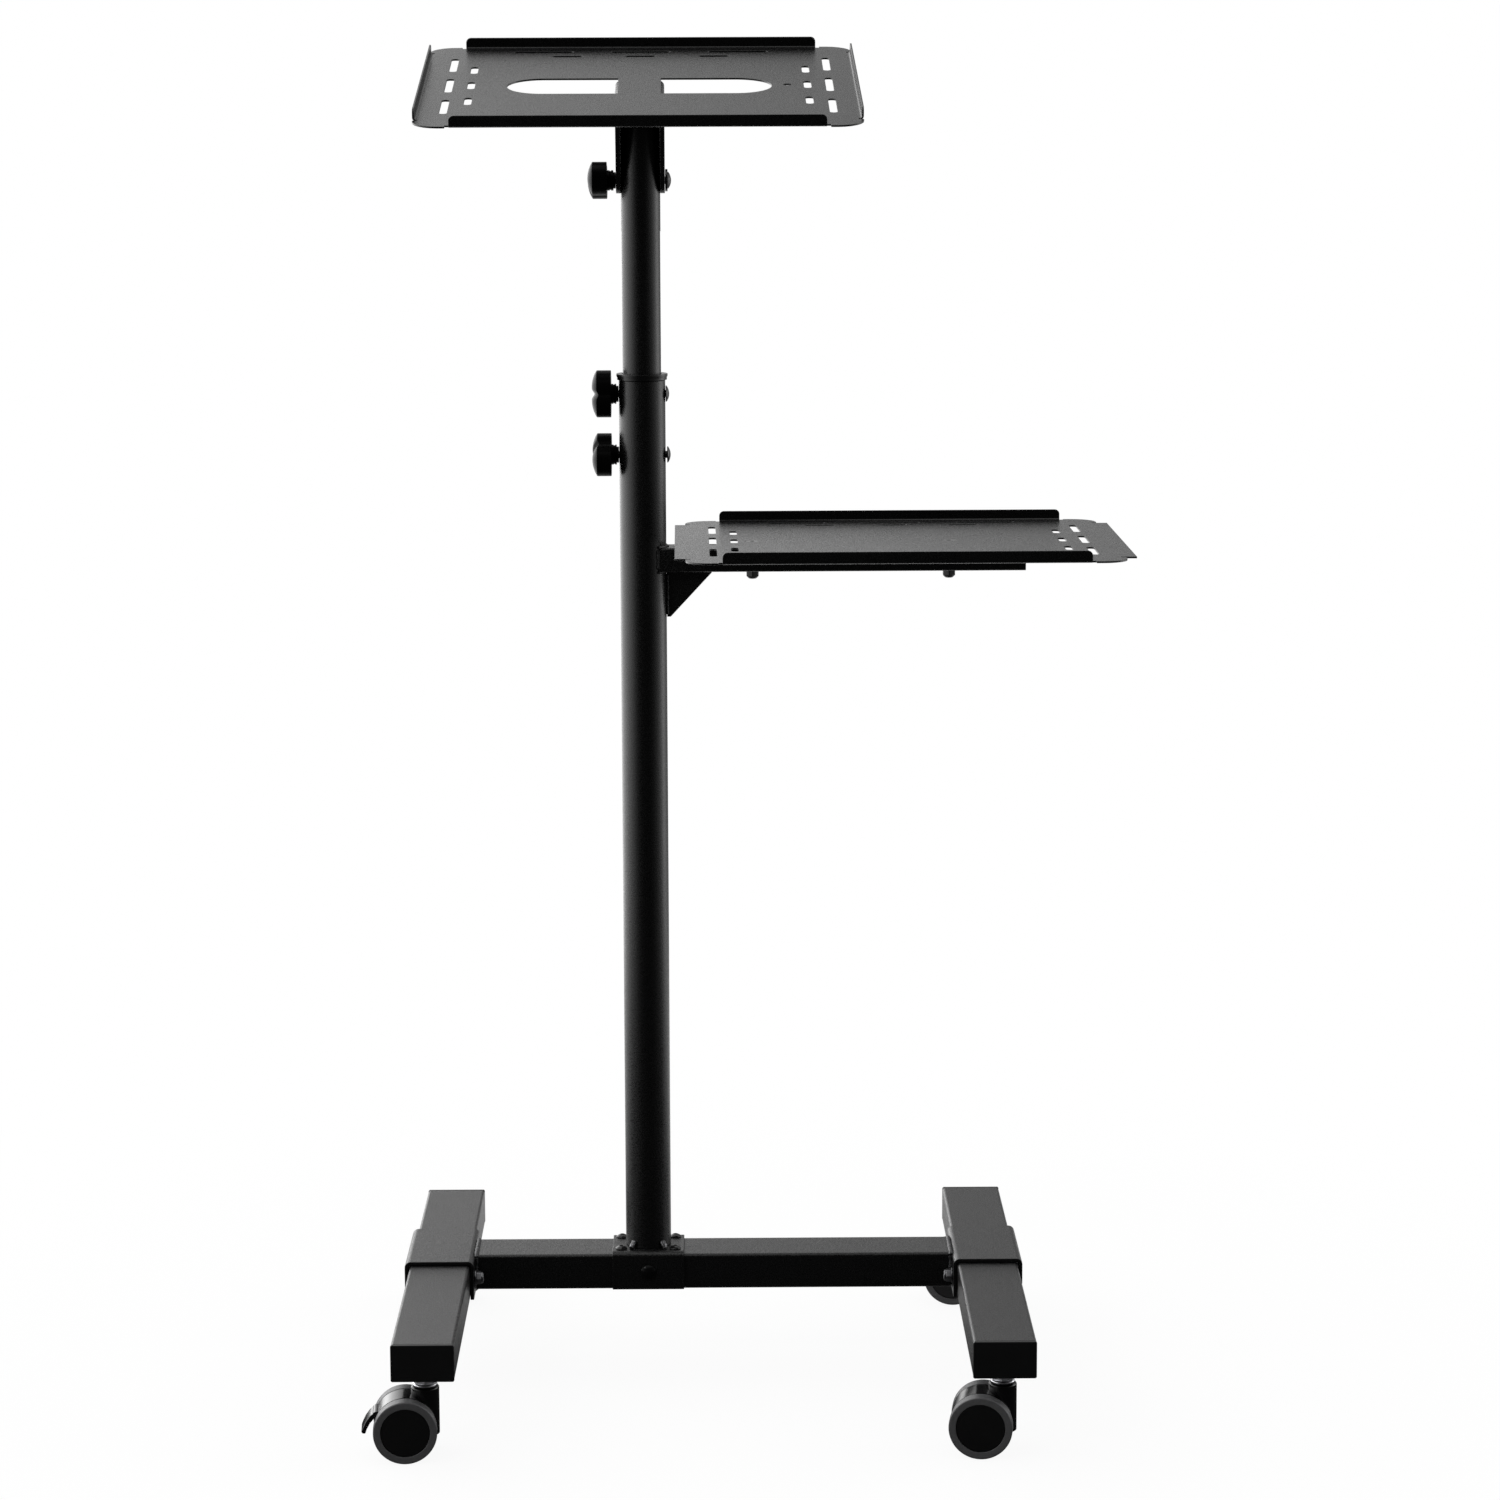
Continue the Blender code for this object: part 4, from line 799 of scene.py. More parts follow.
# Mast
def masts():
    wall = MAST_RADIUS - MAST_WALL
    foot = FOOT_TOP + GAP
    outer = turned([(MAST_RADIUS, MAST_TOP), (MAST_RADIUS, foot), (wall, foot), (wall, MAST_TOP)],
                   ROUND, EDGE, closed=True)
    instead("outer_mast", outer, MAST_COAT)
    top = MAST_TOP + GAP + BUSH_FLANGE
    seat = MAST_TOP + GAP
    bore = INNER_RADIUS + BUSH_PLAY
    neck = BUSH_RADIUS - BUSH_NECK_DEPTH
    bush = turned([(BUSH_RADIUS, top), (BUSH_RADIUS, top - BUSH_BROW), (neck, top - BUSH_NECK),
                   (neck, seat), (bore, seat), (bore, top)], ROUND, FINE_EDGE, closed=True)
    instead("mast_bush", bush, BUSH_PLASTIC)
    inner = turned([(INNER_RADIUS, INNER_TOP), (INNER_RADIUS, SLOT_TOP), (INNER_RADIUS, SLOT_BOTTOM),
                    (INNER_RADIUS, INNER_BOTTOM)], ROUND, 0.0)
    half_step = Matrix.Rotation(pi / ROUND, 3, "Z")
    bmesh.ops.rotate(inner, cent=(0.0, 0.0, 0.0), matrix=half_step, verts=inner.verts)
    slots = [f for f in inner.faces if abs(f.calc_center_median().y) < SLOT_HALF_WIDTH
             and SLOT_BOTTOM < f.calc_center_median().z < SLOT_TOP]
    bmesh.ops.delete(inner, geom=slots, context="FACES")
    instead("inner_mast", inner, MAST_COAT, plate=INNER_WALL)


def cross_bolt(name, face, z, washer, length):
    """A domed head on the right side and a shank that reaches through to the knob."""
    head = turned(domed_head(BOLT_HEAD_RADIUS, BOLT_HEAD_HEIGHT, washer), SMALL_ROUND, FINE_EDGE)
    shank = turned([(BOLT_RADIUS, 0.0), (BOLT_RADIUS, -length)], SMALL_ROUND, 0.0)
    instead(name, moved(joined(head, shank), at(face, 0.0, z) @ ALONG_X), BOLT_STEEL)


def clamp_bolts():
    face = MAST_RADIUS + GAP
    off = LOWER_CLAMP_STAND_OFF
    side = BRACKET_HALF_WIDTH + GAP
    cross_bolt("upper_clamp_bolt", face, UPPER_CLAMP_Z, None, 2.0 * face + BOLT_REACH)
    cross_bolt("lower_clamp_bolt", face + off, LOWER_CLAMP_Z, None, 2.0 * face + off + BOLT_REACH)
    cross_bolt("tilt_bolt", side, TILT_Z, (TILT_WASHER_RADIUS, TILT_WASHER), 2.0 * side + BOLT_REACH)


def knob(name, face, z, hub, turn):
    """Two overlapping lobes with a valley between them, on a ringed neck."""
    brow = hub + LOBE_DEPTH - KNOB_BROW
    spin = at(-face, 0.0, z) @ spun(turn, "X")
    outline = dome(LOBE_RADIUS, LOBE_DOME + KNOB_BROW, 10, brow) + [(LOBE_RADIUS, hub), (0.0, hub)]
    lobes = []
    for side in (1, -1):
        lobe = moved(turned(outline, ROUND, 0.0005), at(0.0, 0.0, side * LOBE_OFFSET) @ ALONG_MINUS_X)
        for vert in lobe.verts:
            if -vert.co.x - hub > LOBE_DEPTH * 0.6:
                valley = max(0.0, 1.0 - abs(vert.co.z) / VALLEY_REACH)
                vert.co.x += VALLEY_DEPTH * valley * valley * (3.0 - 2.0 * valley)
        lobes.append(moved(lobe, spin))
    sink = hub + LOBE_DEPTH / 2.0
    groove = HUB_RADIUS - HUB_GROOVE_DEPTH
    middle = (HUB_NECK + hub) / 2.0
    upper, floor_top, floor_low, lower = (middle + step for step in HUB_GROOVE)
    neck = turned([(0.0, sink), (HUB_RADIUS, sink), (HUB_RADIUS, upper), (groove, floor_top),
                   (groove, floor_low), (HUB_RADIUS, lower), (HUB_RADIUS, HUB_NECK),
                   (HUB_NECK_RADIUS, HUB_NECK), (HUB_NECK_RADIUS, 0.0), (0.0, 0.0)], SMALL_ROUND, 0.00025, 2)
    instead(name, joined(lobes[0], lobes[1], moved(neck, spin @ ALONG_MINUS_X)), KNOB_PLASTIC)


# Trays
def stadium(cx, cy, half_x, half_y, steps=8):
    radius = min(half_x, half_y)
    reach_x = half_x - radius
    reach_y = half_y - radius
    if half_x > half_y:
        return (arc(cx + reach_x, cy, radius, -pi / 2, pi / 2, steps)
                + arc(cx - reach_x, cy, radius, pi / 2, 1.5 * pi, steps))
    return (arc(cx, cy + reach_y, radius, 0.0, pi, steps)
            + arc(cx, cy - reach_y, radius, pi, 2.0 * pi, steps))


def round_hole(cx, radius):
    """A round hole of 24 points on the sheet's middle line."""
    return arc(cx, 0.0, radius, 0.0, 2.0 * pi - pi / 12.0, 23)


def openings(with_cutouts):
    """Outlines of the two rows of slots on every side, the cut-outs and the single hole."""
    loops = []
    half = SLOT_WIDTH / 2.0
    for side in (-1, 1):
        for step in (-1, 0, 1):
            loops.append(stadium(side * SIDE_OUTER_X, step * SIDE_PITCHES[0], half, LONG_SLOT / 2.0))
            loops.append(stadium(side * SIDE_INNER_X, step * SIDE_PITCHES[1], half, SHORT_SLOT / 2.0))
            loops.append(stadium(step * END_PITCHES[0], side * END_OUTER_Y, LONG_SLOT / 2.0, half))
            loops.append(stadium(step * END_PITCHES[1], side * END_INNER_Y, SHORT_SLOT / 2.0, half))
        if with_cutouts:
            centre = CUTOUT_OUTER_X - CUTOUT_RADIUS
            outline = [(CUTOUT_INNER_X, -CUTOUT_RADIUS)]
            outline += arc(centre, 0.0, CUTOUT_RADIUS, -pi / 2, pi / 2, 32)
            outline += [(CUTOUT_INNER_X, CUTOUT_RADIUS)]
            loops.append([(side * x, y + CUTOUT_Y) for x, y in outline])
    if with_cutouts:
        loops.append(round_hole(HOLE_X, HOLE_RADIUS))
    return loops


def corner_tab(sx, sy, bend_x, bend_y, side_half):
    """One flat corner between two lips, from side to end."""
    reach_x = TRAY_HALF_WIDTH - TAB_CORNER
    reach_y = TRAY_HALF_DEPTH - TAB_CORNER
    points = [(bend_x - NOTCH_DEPTH, side_half), (bend_x - NOTCH_DEPTH, side_half + NOTCH)]
    points += [(TRAY_HALF_WIDTH, side_half + NOTCH)]
    points += arc(reach_x, reach_y, TAB_CORNER, 0.0, pi / 2, BEND_STEPS)
    points += [(END_LIP_HALF + NOTCH, TRAY_HALF_DEPTH), (END_LIP_HALF + NOTCH, bend_y - NOTCH_DEPTH)]
    points += [(END_LIP_HALF, bend_y - NOTCH_DEPTH)]
    return [(sx * x, sy * y) for x, y in points]


def loop_edges(bm, points):
    verts = [bm.verts.new((x, y, 0.0)) for x, y in points]
    return [bm.edges.new((first, second)) for first, second in zip(verts, verts[1:] + verts[:1])]


def pressed_sheet(side_lips, with_cutouts, more=()):
    """The upper skin of a tray: a flat plate with its openings and its bent-up lips."""
    bend_x = TRAY_HALF_WIDTH - SHEET - LIP_BEND
    bend_y = TRAY_HALF_DEPTH - SHEET - LIP_BEND
    side_half = SIDE_LIP_HALF if side_lips else FLAP_HALF
    outline = []
    lips = []

    def side(sx):
        first = (sx * bend_x, -sx * side_half)
        second = (sx * bend_x, sx * side_half)
        if side_lips:
            lips.append((len(outline), (sx, 0.0)))
            outline.extend([first, second])
        else:
            out = sx * FLAP_OUT
            outline.extend([first, (out, -sx * side_half), (out, sx * side_half), second])

    def end(sy):
        lips.append((len(outline), (0.0, sy)))
        outline.extend([(sy * END_LIP_HALF, sy * bend_y), (-sy * END_LIP_HALF, sy * bend_y)])

    side(1)
    outline.extend(corner_tab(1, 1, bend_x, bend_y, side_half))
    end(1)
    outline.extend(reversed(corner_tab(-1, 1, bend_x, bend_y, side_half)))
    side(-1)
    outline.extend(corner_tab(-1, -1, bend_x, bend_y, side_half))
    end(-1)
    outline.extend(reversed(corner_tab(1, -1, bend_x, bend_y, side_half)))

    bm = bmesh.new()
    rim = loop_edges(bm, outline)
    edges = list(rim)
    for loop in openings(with_cutouts) + list(more):
        edges += loop_edges(bm, loop)
    bmesh.ops.triangle_fill(bm, use_beauty=True, use_dissolve=False, edges=edges, normal=(0.0, 0.0, 1.0))
    for start, (ox, oy) in lips:
        edge = rim[start]
        centre = (edge.verts[0].co + edge.verts[1].co) / 2.0 + Vector((0.0, 0.0, LIP_BEND))
        bent = bmesh.ops.spin(bm, geom=[edge, *edge.verts], cent=centre, axis=(-oy, ox, 0.0),
                              angle=-pi / 2.0, steps=BEND_STEPS)["geom_last"]
        grown = bmesh.ops.extrude_edge_only(bm, edges=only(bmesh.types.BMEdge, bent))["geom"]
        top = only(bmesh.types.BMVert, grown)
        bmesh.ops.translate(bm, vec=(0.0, 0.0, LIP_HEIGHT - LIP_BEND), verts=top)
        bevelled(bm, top, LIP_CORNER, 6, "VERTICES")
    bmesh.ops.recalc_face_normals(bm, faces=bm.faces)
    return facing_up(bm, min(bm.faces, key=lambda f: f.calc_center_median().length))


ON_MAST = spun(TRAY_TURN, "Z")
ON_TILT = at(0.0, 0.0, TILT_Z) @ ON_MAST @ spun(TRAY_TILT, "X")


def tray_bracket():
    """Both legs and the web over the mast, from one bent plate."""
    top = TRAY_RISE - SHEET - GAP
    rise = top - BRACKET_BEND
    lean = atan2(BRACKET_TOP_HALF - BRACKET_END_RADIUS, rise)
    bm = bmesh.new()
    side = arc(0.0, 0.0, BRACKET_END_RADIUS, pi + lean, 2.0 * pi - lean, 24)
    side += [(BRACKET_TOP_HALF, rise), (-BRACKET_TOP_HALF, rise)]
    leg_face = bm.faces.new([bm.verts.new((-BRACKET_HALF_WIDTH, y, z)) for y, z in side])
    upper = max(leg_face.edges, key=lambda e: e.verts[0].co.z + e.verts[1].co.z)
    centre = (BRACKET_BEND - BRACKET_HALF_WIDTH, 0.0, rise)
    bent = bmesh.ops.spin(bm, geom=[upper, *upper.verts], cent=centre, axis=(0.0, 1.0, 0.0),
                          angle=pi / 2.0, steps=BEND_STEPS)["geom_last"]
    grown = bmesh.ops.extrude_edge_only(bm, edges=only(bmesh.types.BMEdge, bent))["geom"]
    for vert in only(bmesh.types.BMVert, grown):
        vert.co.x = 0.0
    bmesh.ops.mirror(bm, geom=bm.verts[:] + bm.edges[:] + bm.faces[:], axis="X", merge_dist=MERGE)
    outward(bm)
    facing_up(bm, highest(bm))
    instead("tray_bracket", moved(bm, ON_TILT), FRAME_COAT, plate=BRACKET_SKIN, edge=EDGE)


def top_tray():
    sheet = pressed_sheet(True, True)
    spot = ON_TILT @ at(0.0, 0.0, TRAY_RISE)
    instead("top_tray", moved(sheet, spot), SHEET_COAT, plate=SHEET, edge=FINE_EDGE)


def lower_shelf():
    screws = [round_hole(x, CSK_RADIUS + GAP) for x in (SHELF_BOLT_LEFT, SHELF_BOLT_RIGHT)]
    sheet = pressed_sheet(False, False, screws)
    spot = ON_MAST @ at(SHELF_X, 0.0, SHELF_Z)
    instead("lower_shelf", moved(sheet, spot), SHEET_COAT, plate=SHEET, edge=FINE_EDGE)


# Arm of the lower shelf
ARM_TOP = SHELF_Z - SHEET - SHELF_SPACER
ARM_BOTTOM = ARM_TOP - ARM_HEIGHT


def arm():
    """The tube with its mouth cut round to the mast, and the gusset under it."""
    tube = square_tube(ARM_WIDTH, ARM_END - ARM_START, ARM_HEIGHT, ARM_CORNER, ARM_WALL, ARM_BORE)
    moved(tube, at((ARM_START + ARM_END) / 2.0, 0.0, (ARM_TOP + ARM_BOTTOM) / 2.0) @ QUARTER_TURN)
    for i in range(-5, 6):
        bmesh.ops.bisect_plane(tube, geom=tube.verts[:] + tube.edges[:] + tube.faces[:], dist=MERGE,
                               plane_co=(0.0, i * ARM_SLICE, 0.0), plane_no=(0.0, 1.0, 0.0))
    reach = MAST_RADIUS + GAP
    for vert in tube.verts:
        if vert.co.x < ARM_START + MERGE:
            vert.co.x = sqrt(reach * reach - vert.co.y * vert.co.y)
    instead("shelf_arm", moved(tube, ON_MAST), FRAME_COAT, edge=FINE_EDGE)
    top = ARM_BOTTOM - GAP
    low = top - GUSSET_DROP
    end = reach + GUSSET_REACH
    outline = [(reach, low), (reach + GUSSET_TIP, low), (end, top - GUSSET_TIP / 2.0), (end, top),
               (reach, top)]
    plate = moved(prism(outline, GUSSET_PLATE, 0.0), ON_MAST @ ALONG_MINUS_Y)
    instead("shelf_gusset", plate, FRAME_COAT, edge=EDGE)


def arm_bead(name, path, radius, seed, finish):
    piece(name, moved(bead(path, radius, 0.9, seed), ON_MAST), finish, "base")


def arm_welds():
    """Beads round the arm's mouth and down both sides of the gusset."""
    half = ARM_WIDTH / 2.0
    mouth = arc(0.0, 0.0, MAST_RADIUS + 0.0008, -0.86, 0.86, 22)
    for tag, z, seed in (("top", ARM_TOP + 0.0002, 0.3), ("under", ARM_BOTTOM - 0.0002, 1.7)):
        arm_bead("arm_weld_" + tag, [(x, y, z) for x, y in mouth], 0.0014, seed, COATED_WELD)
    for tag, side in (("front", -1), ("back", 1)):
        x = sqrt(MAST_RADIUS * MAST_RADIUS - half * half) + 0.0010
        path = between((x, side * half, ARM_TOP - 0.002), (x, side * half, ARM_BOTTOM + 0.002), BEAD_STEP)
        arm_bead("arm_weld_" + tag, path, 0.0013, side, COATED_WELD)
        edge = side * (GUSSET_PLATE / 2.0 + 0.0003)
        start = MAST_RADIUS + 0.0006
        low = ARM_BOTTOM - GUSSET_DROP + 0.002
        path = between((start, edge, low), (start, edge, ARM_BOTTOM - 0.003), BEAD_STEP)
        arm_bead("gusset_weld_" + tag, path, 0.0014, side + 0.5, WELD)
        under = ARM_BOTTOM - 0.0004
        path = between((start + 0.004, edge, under), (start + GUSSET_REACH - 0.004, edge, under), 0.0014)
        arm_bead("gusset_arm_weld_" + tag, path, 0.0011, side + 0.9, COATED_WELD)


def shelf_bolts():
    """Countersunk screw through the sheet, its spacer and the flanged nut under the arm."""
    under = -SHEET - GAP
    arm_top = ARM_TOP - SHELF_Z + GAP
    arm_low = ARM_BOTTOM - SHELF_Z - GAP
    low = arm_low - NUT_HEIGHT
    shank = CSK_RADIUS - SHEET
    collar = NUT_RADIUS - NUT_END_STEP
    for tag, x in (("left", SHELF_BOLT_LEFT), ("right", SHELF_BOLT_RIGHT)):
        head = turned([(0.0, -SOCKET_DEPTH), (SOCKET_FLOOR, -SOCKET_DEPTH), (SOCKET_BROW, -0.0001),
                       (CSK_RADIUS - 0.0002, 0.0), (CSK_RADIUS, -0.0002), (shank, -SHEET), (shank, under),
                       (SPACER_RADIUS, under), (SPACER_RADIUS, arm_top), (0.0, arm_top)],
                      SMALL_ROUND, 0.00015, 2)
        end = turned([(collar, low + 0.001), (collar, low - 0.0004), (BOLT_RADIUS, low - NUT_END_SLOPE),
                      (0.0, low - 0.0021)], SMALL_ROUND, 0.0005)
        nut = moved(hexagon(NUT_RADIUS, NUT_HEIGHT, 0.0006), at(0.0, 0.0, arm_low - NUT_HEIGHT / 2.0))
        bolt = moved(joined(head, end, nut), ON_MAST @ at(SHELF_X + x, 0.0, SHELF_Z))
        instead("shelf_bolt_" + tag, bolt, BOLT_STEEL)


# Castors
# The lever's outline as shares of its reach and drop, from its pivot round to the pivot
LEVER_SHARES = (
    (-0.176, 0.139), (-0.441, -0.036), (-0.706, -0.337), (-0.897, -0.663), (-1.0, -0.88),
    (-0.926, -0.988), (-0.735, -1.0), (-0.632, -0.747), (-0.412, -0.422), (-0.162, -0.181), (0.0, 0.0),
)


def castor_stem(tag, swivel):
    """Plain washer under the leg, the stem, and a hexagon nut on its round flange."""
    bottom = BARREL_TOP + GAP
    seat = TUBE_BOTTOM - GAP
    low = seat - STEM_WASHER
    rim = STEM_NUT_RADIUS - 0.0001
    rod_radius = STEM_RADIUS - GAP
    washer = turned([(STEM_RADIUS, seat), (STEM_WASHER_RADIUS, seat), (STEM_WASHER_RADIUS, low),
                     (STEM_RADIUS, low)], SMALL_ROUND, EDGE)
    rod = turned([(rod_radius, STEM_TOP), (rod_radius, bottom - 0.01)], SMALL_ROUND, 0.0)
    flange = turned([(0.0, bottom + NUT_FLANGE), (STEM_NUT_RADIUS - 0.0012, bottom + NUT_FLANGE),
                     (rim, bottom + NUT_FLANGE_SLOPE), (rim, bottom), (0.0, bottom)],
                    SMALL_ROUND, FINE_EDGE)
    height = STEM_NUT_HEIGHT - 0.0014
    middle = at(0.0, 0.0, bottom + STEM_NUT_HEIGHT - height / 2.0)
    nut = moved(hexagon(STEM_NUT_RADIUS - 0.0009, height, 0.0006), middle)
    instead("castor_" + tag + "_stem", moved(joined(washer, rod, flange, nut), swivel), ZINC)


def castor_hood(tag, swivel):
    """Barrel with a dished top, the fender between the wheels and the fixed axle."""
    dish = BARREL_TOP - DISH_DEPTH
    barrel = turned([(0.0, dish), (STEM_RADIUS + DISH_FLOOR, dish), (STEM_RADIUS + DISH_BROW, BARREL_TOP),
                     (BARREL_RADIUS - BARREL_SLOPE, BARREL_TOP),
                     (BARREL_RADIUS, BARREL_TOP - BARREL_SLOPE), (BARREL_RADIUS, BARREL_BOTTOM),
                     (0.0, BARREL_BOTTOM)], ROUND, 0.0005)
    outline = arc(-CASTOR_TRAIL, WHEEL_RADIUS, FENDER_RADIUS, radians(24.0), radians(152.0), 40)
    outline += [(LEVER_X + LEVER_SEAT, LEVER_Z - LEVER_SEAT)]
    outline += [(-CASTOR_TRAIL - AXLE_HALF / 2.0, BARREL_BOTTOM), (0.0, BARREL_BOTTOM)]
    fender = moved(prism(outline, 2.0 * FENDER_HALF, 0.0007), ALONG_MINUS_Y)
    axle = turned(bar(AXLE_RADIUS, -AXLE_HALF, AXLE_HALF), SMALL_ROUND, EDGE)
    moved(axle, at(-CASTOR_TRAIL, 0.0, WHEEL_RADIUS) @ ALONG_MINUS_Y)
    instead("castor_" + tag + "_hood", moved(joined(barrel, fender, axle), swivel), HOOD_PLASTIC)


def castor_wheel(tag, side, swivel):
    """A flush hub disc and a tyre with a rounded tread and a flat side ring."""
    along = ALONG_MINUS_Y if side == "near" else ALONG_Y
    spot = swivel @ at(-CASTOR_TRAIL, 0.0, WHEEL_RADIUS) @ along
    face = WHEEL_OUTER_Y - GAP
    back = WHEEL_INNER_Y + GAP
    rim = HUB_DISC_RADIUS
    groove = rim - 0.0011
    hub = turned([(0.0, face - 0.0004), (rim - 0.0014, face - 0.0004), (groove, face - 0.0008),
                  (groove, face - 0.0014), (rim, face - 0.0018), (rim, back), (AXLE_RADIUS + GAP, back)],
                 ROUND, 0.0002, 2)
    instead("castor_%s_%s_hub" % (tag, side), moved(hub, spot), PLASTIC)
    lip = rim - 0.0008
    top = WHEEL_OUTER_Y
    tyre = turned([(lip, top - 0.0012), (lip, top - 0.0002), (lip + 0.0004, top), (WHEEL_RADIUS, top),
                   (WHEEL_RADIUS, WHEEL_INNER_Y), (rim + GAP, WHEEL_INNER_Y), (rim + GAP, top - 0.0020)],
                  ROUND, 0.0, closed=True)
    tread = [v for v in tyre.verts if abs(v.co.xy.length - WHEEL_RADIUS) < MERGE]
    rims = [e for e in tyre.edges if e.verts[0] in tread and e.verts[1] in tread
            and abs(e.verts[0].co.z - e.verts[1].co.z) < MERGE]
    bevelled(tyre, rims, 0.0011, 4)
    instead("castor_%s_%s_tyre" % (tag, side), moved(tyre, spot), TYRE)


def brake_lever(tag, swivel):
    """A hooked blade on its round pivot."""
    barrel = turned(bar(LEVER_BARREL, -LEVER_HALF, LEVER_HALF), SMALL_ROUND, 0.0005)
    outline = [(back * LEVER_REACH, down * LEVER_DROP) for back, down in LEVER_SHARES]
    blade = prism(outline, 2.0 * LEVER_HALF - GAP, 0.0008)
    spot = swivel @ at(LEVER_X, 0.0, LEVER_Z) @ ALONG_MINUS_Y
    instead("castor_" + tag + "_brake", moved(joined(barrel, blade), spot), HOOD_PLASTIC)


def castor(tag, x, y, turn, braked):
    swivel = at(x, y, 0.0) @ spun(turn, "Z")
    castor_stem(tag, swivel)
    castor_hood(tag, swivel)
    castor_wheel(tag, "near", swivel)
    castor_wheel(tag, "far", swivel)
    if braked:
        brake_lever(tag, swivel)


leg("left", LEFT_LEG_X)
leg("right", RIGHT_LEG_X)
saddle("left", LEFT_LEG_X, 1)
saddle("right", RIGHT_LEG_X, -1)
saddle_bolt("left", LEFT_LEG_X, 1)
saddle_bolt("right", RIGHT_LEG_X, -1)
cross_beam()
mast_foot()
foot_bolts()
base_welds()
masts()
clamp_bolts()
knob("upper_clamp_knob", MAST_RADIUS + GAP, UPPER_CLAMP_Z, CLAMP_HUB, UPPER_KNOB_TURN)
knob("lower_clamp_knob", MAST_RADIUS + GAP, LOWER_CLAMP_Z, CLAMP_HUB, LOWER_KNOB_TURN)
knob("tilt_knob", BRACKET_HALF_WIDTH + GAP, TILT_Z, TILT_HUB, TILT_KNOB_TURN)
tray_bracket()
top_tray()
lower_shelf()
arm()
arm_welds()
shelf_bolts()
castor("front_left", LEFT_LEG_X, FRONT_STEM_Y, radians(3.5), True)
castor("front_right", RIGHT_LEG_X, FRONT_STEM_Y, radians(-7.0), False)
castor("rear_left", LEFT_LEG_X, REAR_STEM_Y, radians(-50.0), False)
castor("rear_right", RIGHT_LEG_X, REAR_STEM_Y, radians(-4.0), True)


# Studio
FLOOR_RADIUS = 1.6
WHITE = (1.0, 1.0, 1.0, 1.0)


def pale_floor():
    """A round pale floor: white to the camera, with a faint shadow near the castors, and painted shade to
    other rays, dark on the camera's side.
    """
    bm = bmesh.new()
    bmesh.ops.create_circle(bm, cap_ends=True, segments=96, radius=FLOOR_RADIUS)
    mesh = bpy.data.meshes.new("studio_floor")
    bm.to_mesh(mesh)
    bm.free()
    floor = linked("studio_floor", mesh)
    mat = bpy.data.materials.new("pale_floor")
    mat.use_nodes = True
    mat.node_tree.nodes.clear()
    finish = Finish(mat.node_tree)
    camera_ray = finish.node("ShaderNodeLightPath", {}, {}, "Is Camera Ray")
    where = finish.node("ShaderNodeTexCoord", {}, {}, "Object")
    distance = finish.node("ShaderNodeVectorMath", {"operation": "LENGTH"}, {0: where}, "Value")
    depth = finish.node("ShaderNodeSeparateXYZ", {}, {"Vector": where}, "Y")
    # Painted shade: to reflected and bounced rays the floor is dark on the camera's side and paler towards
    # the back, standing in for the dark room in front.
    painted_shade_tone = 0.03 + finish.band(depth, -0.15, 0.35) * 0.52 + finish.band(depth, 0.4, 0.9) * 0.4
    painted_shade_tone = camera_ray * 0.9 + (1.0 - camera_ray) * painted_shade_tone
    colour = finish.node("ShaderNodeCombineColor", {}, {"Red": painted_shade_tone, "Green": painted_shade_tone, "Blue": painted_shade_tone})
    plain = finish.node("ShaderNodeBsdfDiffuse", {}, {"Color": colour})
    white = finish.node("ShaderNodeEmission", {}, {"Color": WHITE, "Strength": 1.0})
    share = camera_ray * (0.92 + finish.band(distance, 0.5, 1.1) * 0.08)
    out = mat.node_tree.nodes.new("ShaderNodeOutputMaterial")
    finish.feed(out, "Surface", finish.node("ShaderNodeMixShader", {}, {0: share, 1: plain, 2: white}))
    mesh.materials.append(mat)


# Light level by direction round the table, 0 degrees at the front and the left side negative
# (the glow adds to it just above the horizon)
ROOM = (
    (-180, 0.58), (-176, 0.72), (-172, 0.82), (-166, 1.6), (-160, 2.4), (-150, 2.5), (-128, 2.5),
    (-106, 2.5), (-74, 1.5), (-60, 1.0), (-47, 0.5), (-35, 0.12), (-20, 0.03), (0, 0.025), (30, 0.03),
    (47, 0.1), (60, 0.25), (74, 0.5), (90, 1.0), (100, 1.7), (110, 2.5), (118, 1.7), (128, 0.7),
    (144, 0.3), (170, 0.3), (176, 0.38), (180, 0.58),
)
ROOM_TOP = 2.5
GLOW = 0.4
CEILING = 0.95


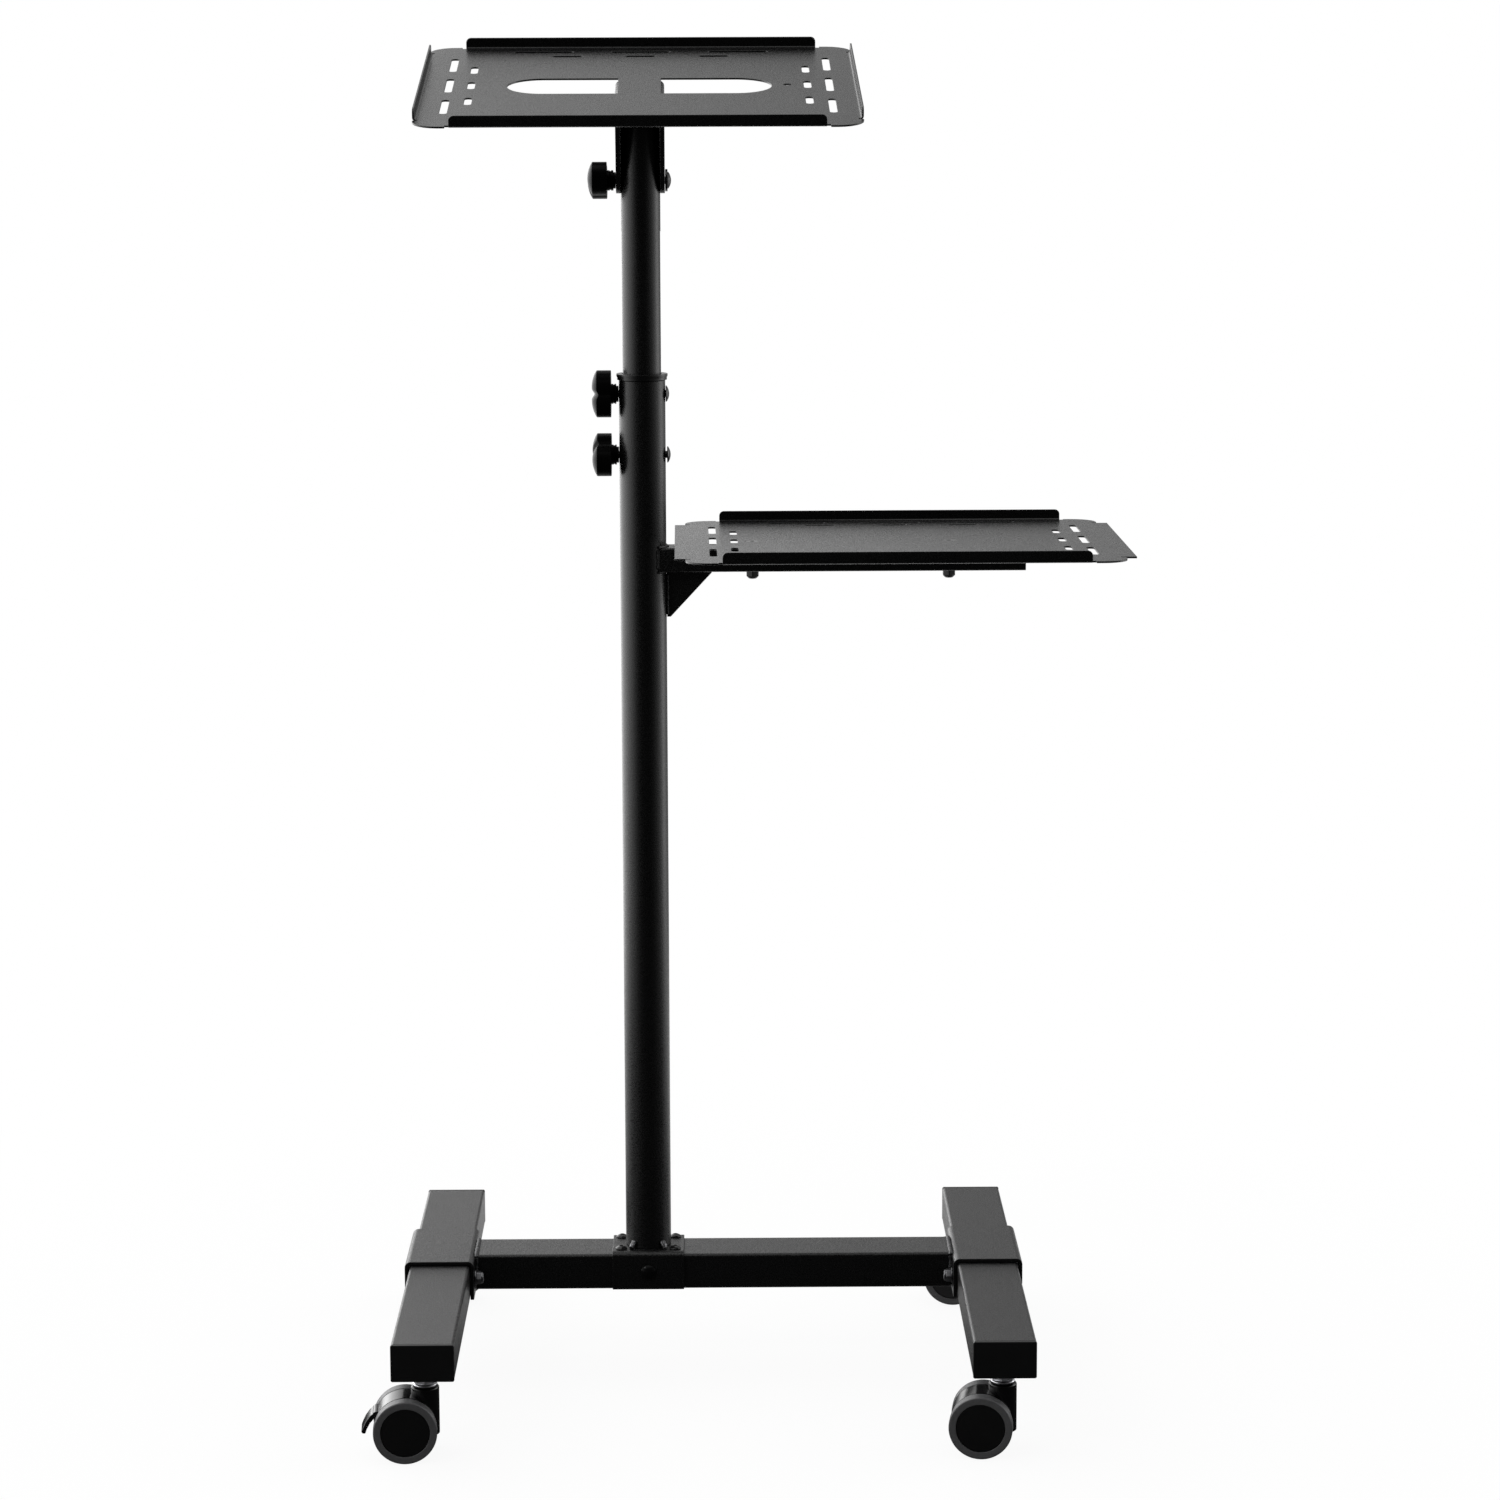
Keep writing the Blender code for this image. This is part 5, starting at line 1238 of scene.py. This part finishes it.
def studio_world():
    """Soft panels beside and behind the table, and a dark room on the camera's side."""
    world = bpy.data.worlds.new("studio")
    bpy.context.scene.world = world
    world.use_nodes = True
    world.node_tree.nodes.clear()
    finish = Finish(world.node_tree)
    camera_ray = finish.node("ShaderNodeLightPath", {}, {}, "Is Camera Ray")
    where = finish.node("ShaderNodeTexCoord", {}, {}, "Generated")
    side = finish.node("ShaderNodeSeparateXYZ", {}, {"Vector": where}, "X")
    depth = finish.node("ShaderNodeSeparateXYZ", {}, {"Vector": where}, "Y")
    height = finish.node("ShaderNodeSeparateXYZ", {}, {"Vector": where}, "Z")
    round_the_table = side.math("ARCTAN2", depth * -1.0) / (2.0 * pi) + 0.5
    stops = [(degrees / 360.0 + 0.5, level / ROOM_TOP) for degrees, level in ROOM]
    walls = finish.node("ShaderNodeValToRGB", {"stops": stops}, {"Fac": round_the_table}) * ROOM_TOP
    glow = finish.band(height, -0.02, 0.08) * (1.0 - finish.band(height, 0.11, 0.2))
    walls = walls * (glow * GLOW + 1.0)
    ceiling = finish.band(height, 0.55, 0.85)
    level = walls + ceiling * (CEILING - walls)
    level = camera_ray + (1.0 - camera_ray) * level
    light = finish.node("ShaderNodeBackground", {}, {"Color": WHITE, "Strength": level})
    out = world.node_tree.nodes.new("ShaderNodeOutputWorld")
    finish.feed(out, "Surface", light)


def lamp(name, spot, aim, size, power):
    data = bpy.data.lights.new(name, "AREA")
    data.size = size
    data.energy = power
    obj = linked(name, data)
    obj.location = spot
    obj.rotation_euler = (Vector(aim) - Vector(spot)).to_track_quat("-Z", "Y").to_euler()


CAMERA_YAW = radians(0.465)
CAMERA_PITCH = radians(9.533)
CAMERA_ROLL = radians(-0.206)
CAMERA_SPOT = (-0.025679, -3.396622, 1.09884)
CAMERA_LENS = 100.405


def camera():
    """The photograph's own view of the table, solved for a square frame."""
    yaw, pitch, roll = CAMERA_YAW, CAMERA_PITCH, CAMERA_ROLL
    ahead = Vector((sin(yaw) * cos(pitch), cos(yaw) * cos(pitch), -sin(pitch)))
    level = Vector((cos(yaw), -sin(yaw), 0.0))
    up = level.cross(ahead)
    right = cos(roll) * level + sin(roll) * up
    upward = cos(roll) * up - sin(roll) * level
    data = bpy.data.cameras.new("camera")
    data.sensor_width = 36.0
    data.lens = CAMERA_LENS
    data.clip_start = 0.05
    data.clip_end = 60.0
    obj = linked("camera", data)
    turn = Matrix((right, upward, -ahead)).transposed().to_4x4()
    obj.matrix_world = at(*CAMERA_SPOT) @ turn
    bpy.context.scene.camera = obj


pale_floor()
studio_world()
lamp("top_lamp", spot=(0.0, 0.3, 3.2), aim=(0.0, 0.0, 0.6), size=2.0, power=6.0)
lamp("front_lamp", spot=(-2.0, -2.2, 2.4), aim=(0.0, 0.0, 0.4), size=0.7, power=12.0)
camera()
bpy.context.scene.view_settings.view_transform = "Standard"
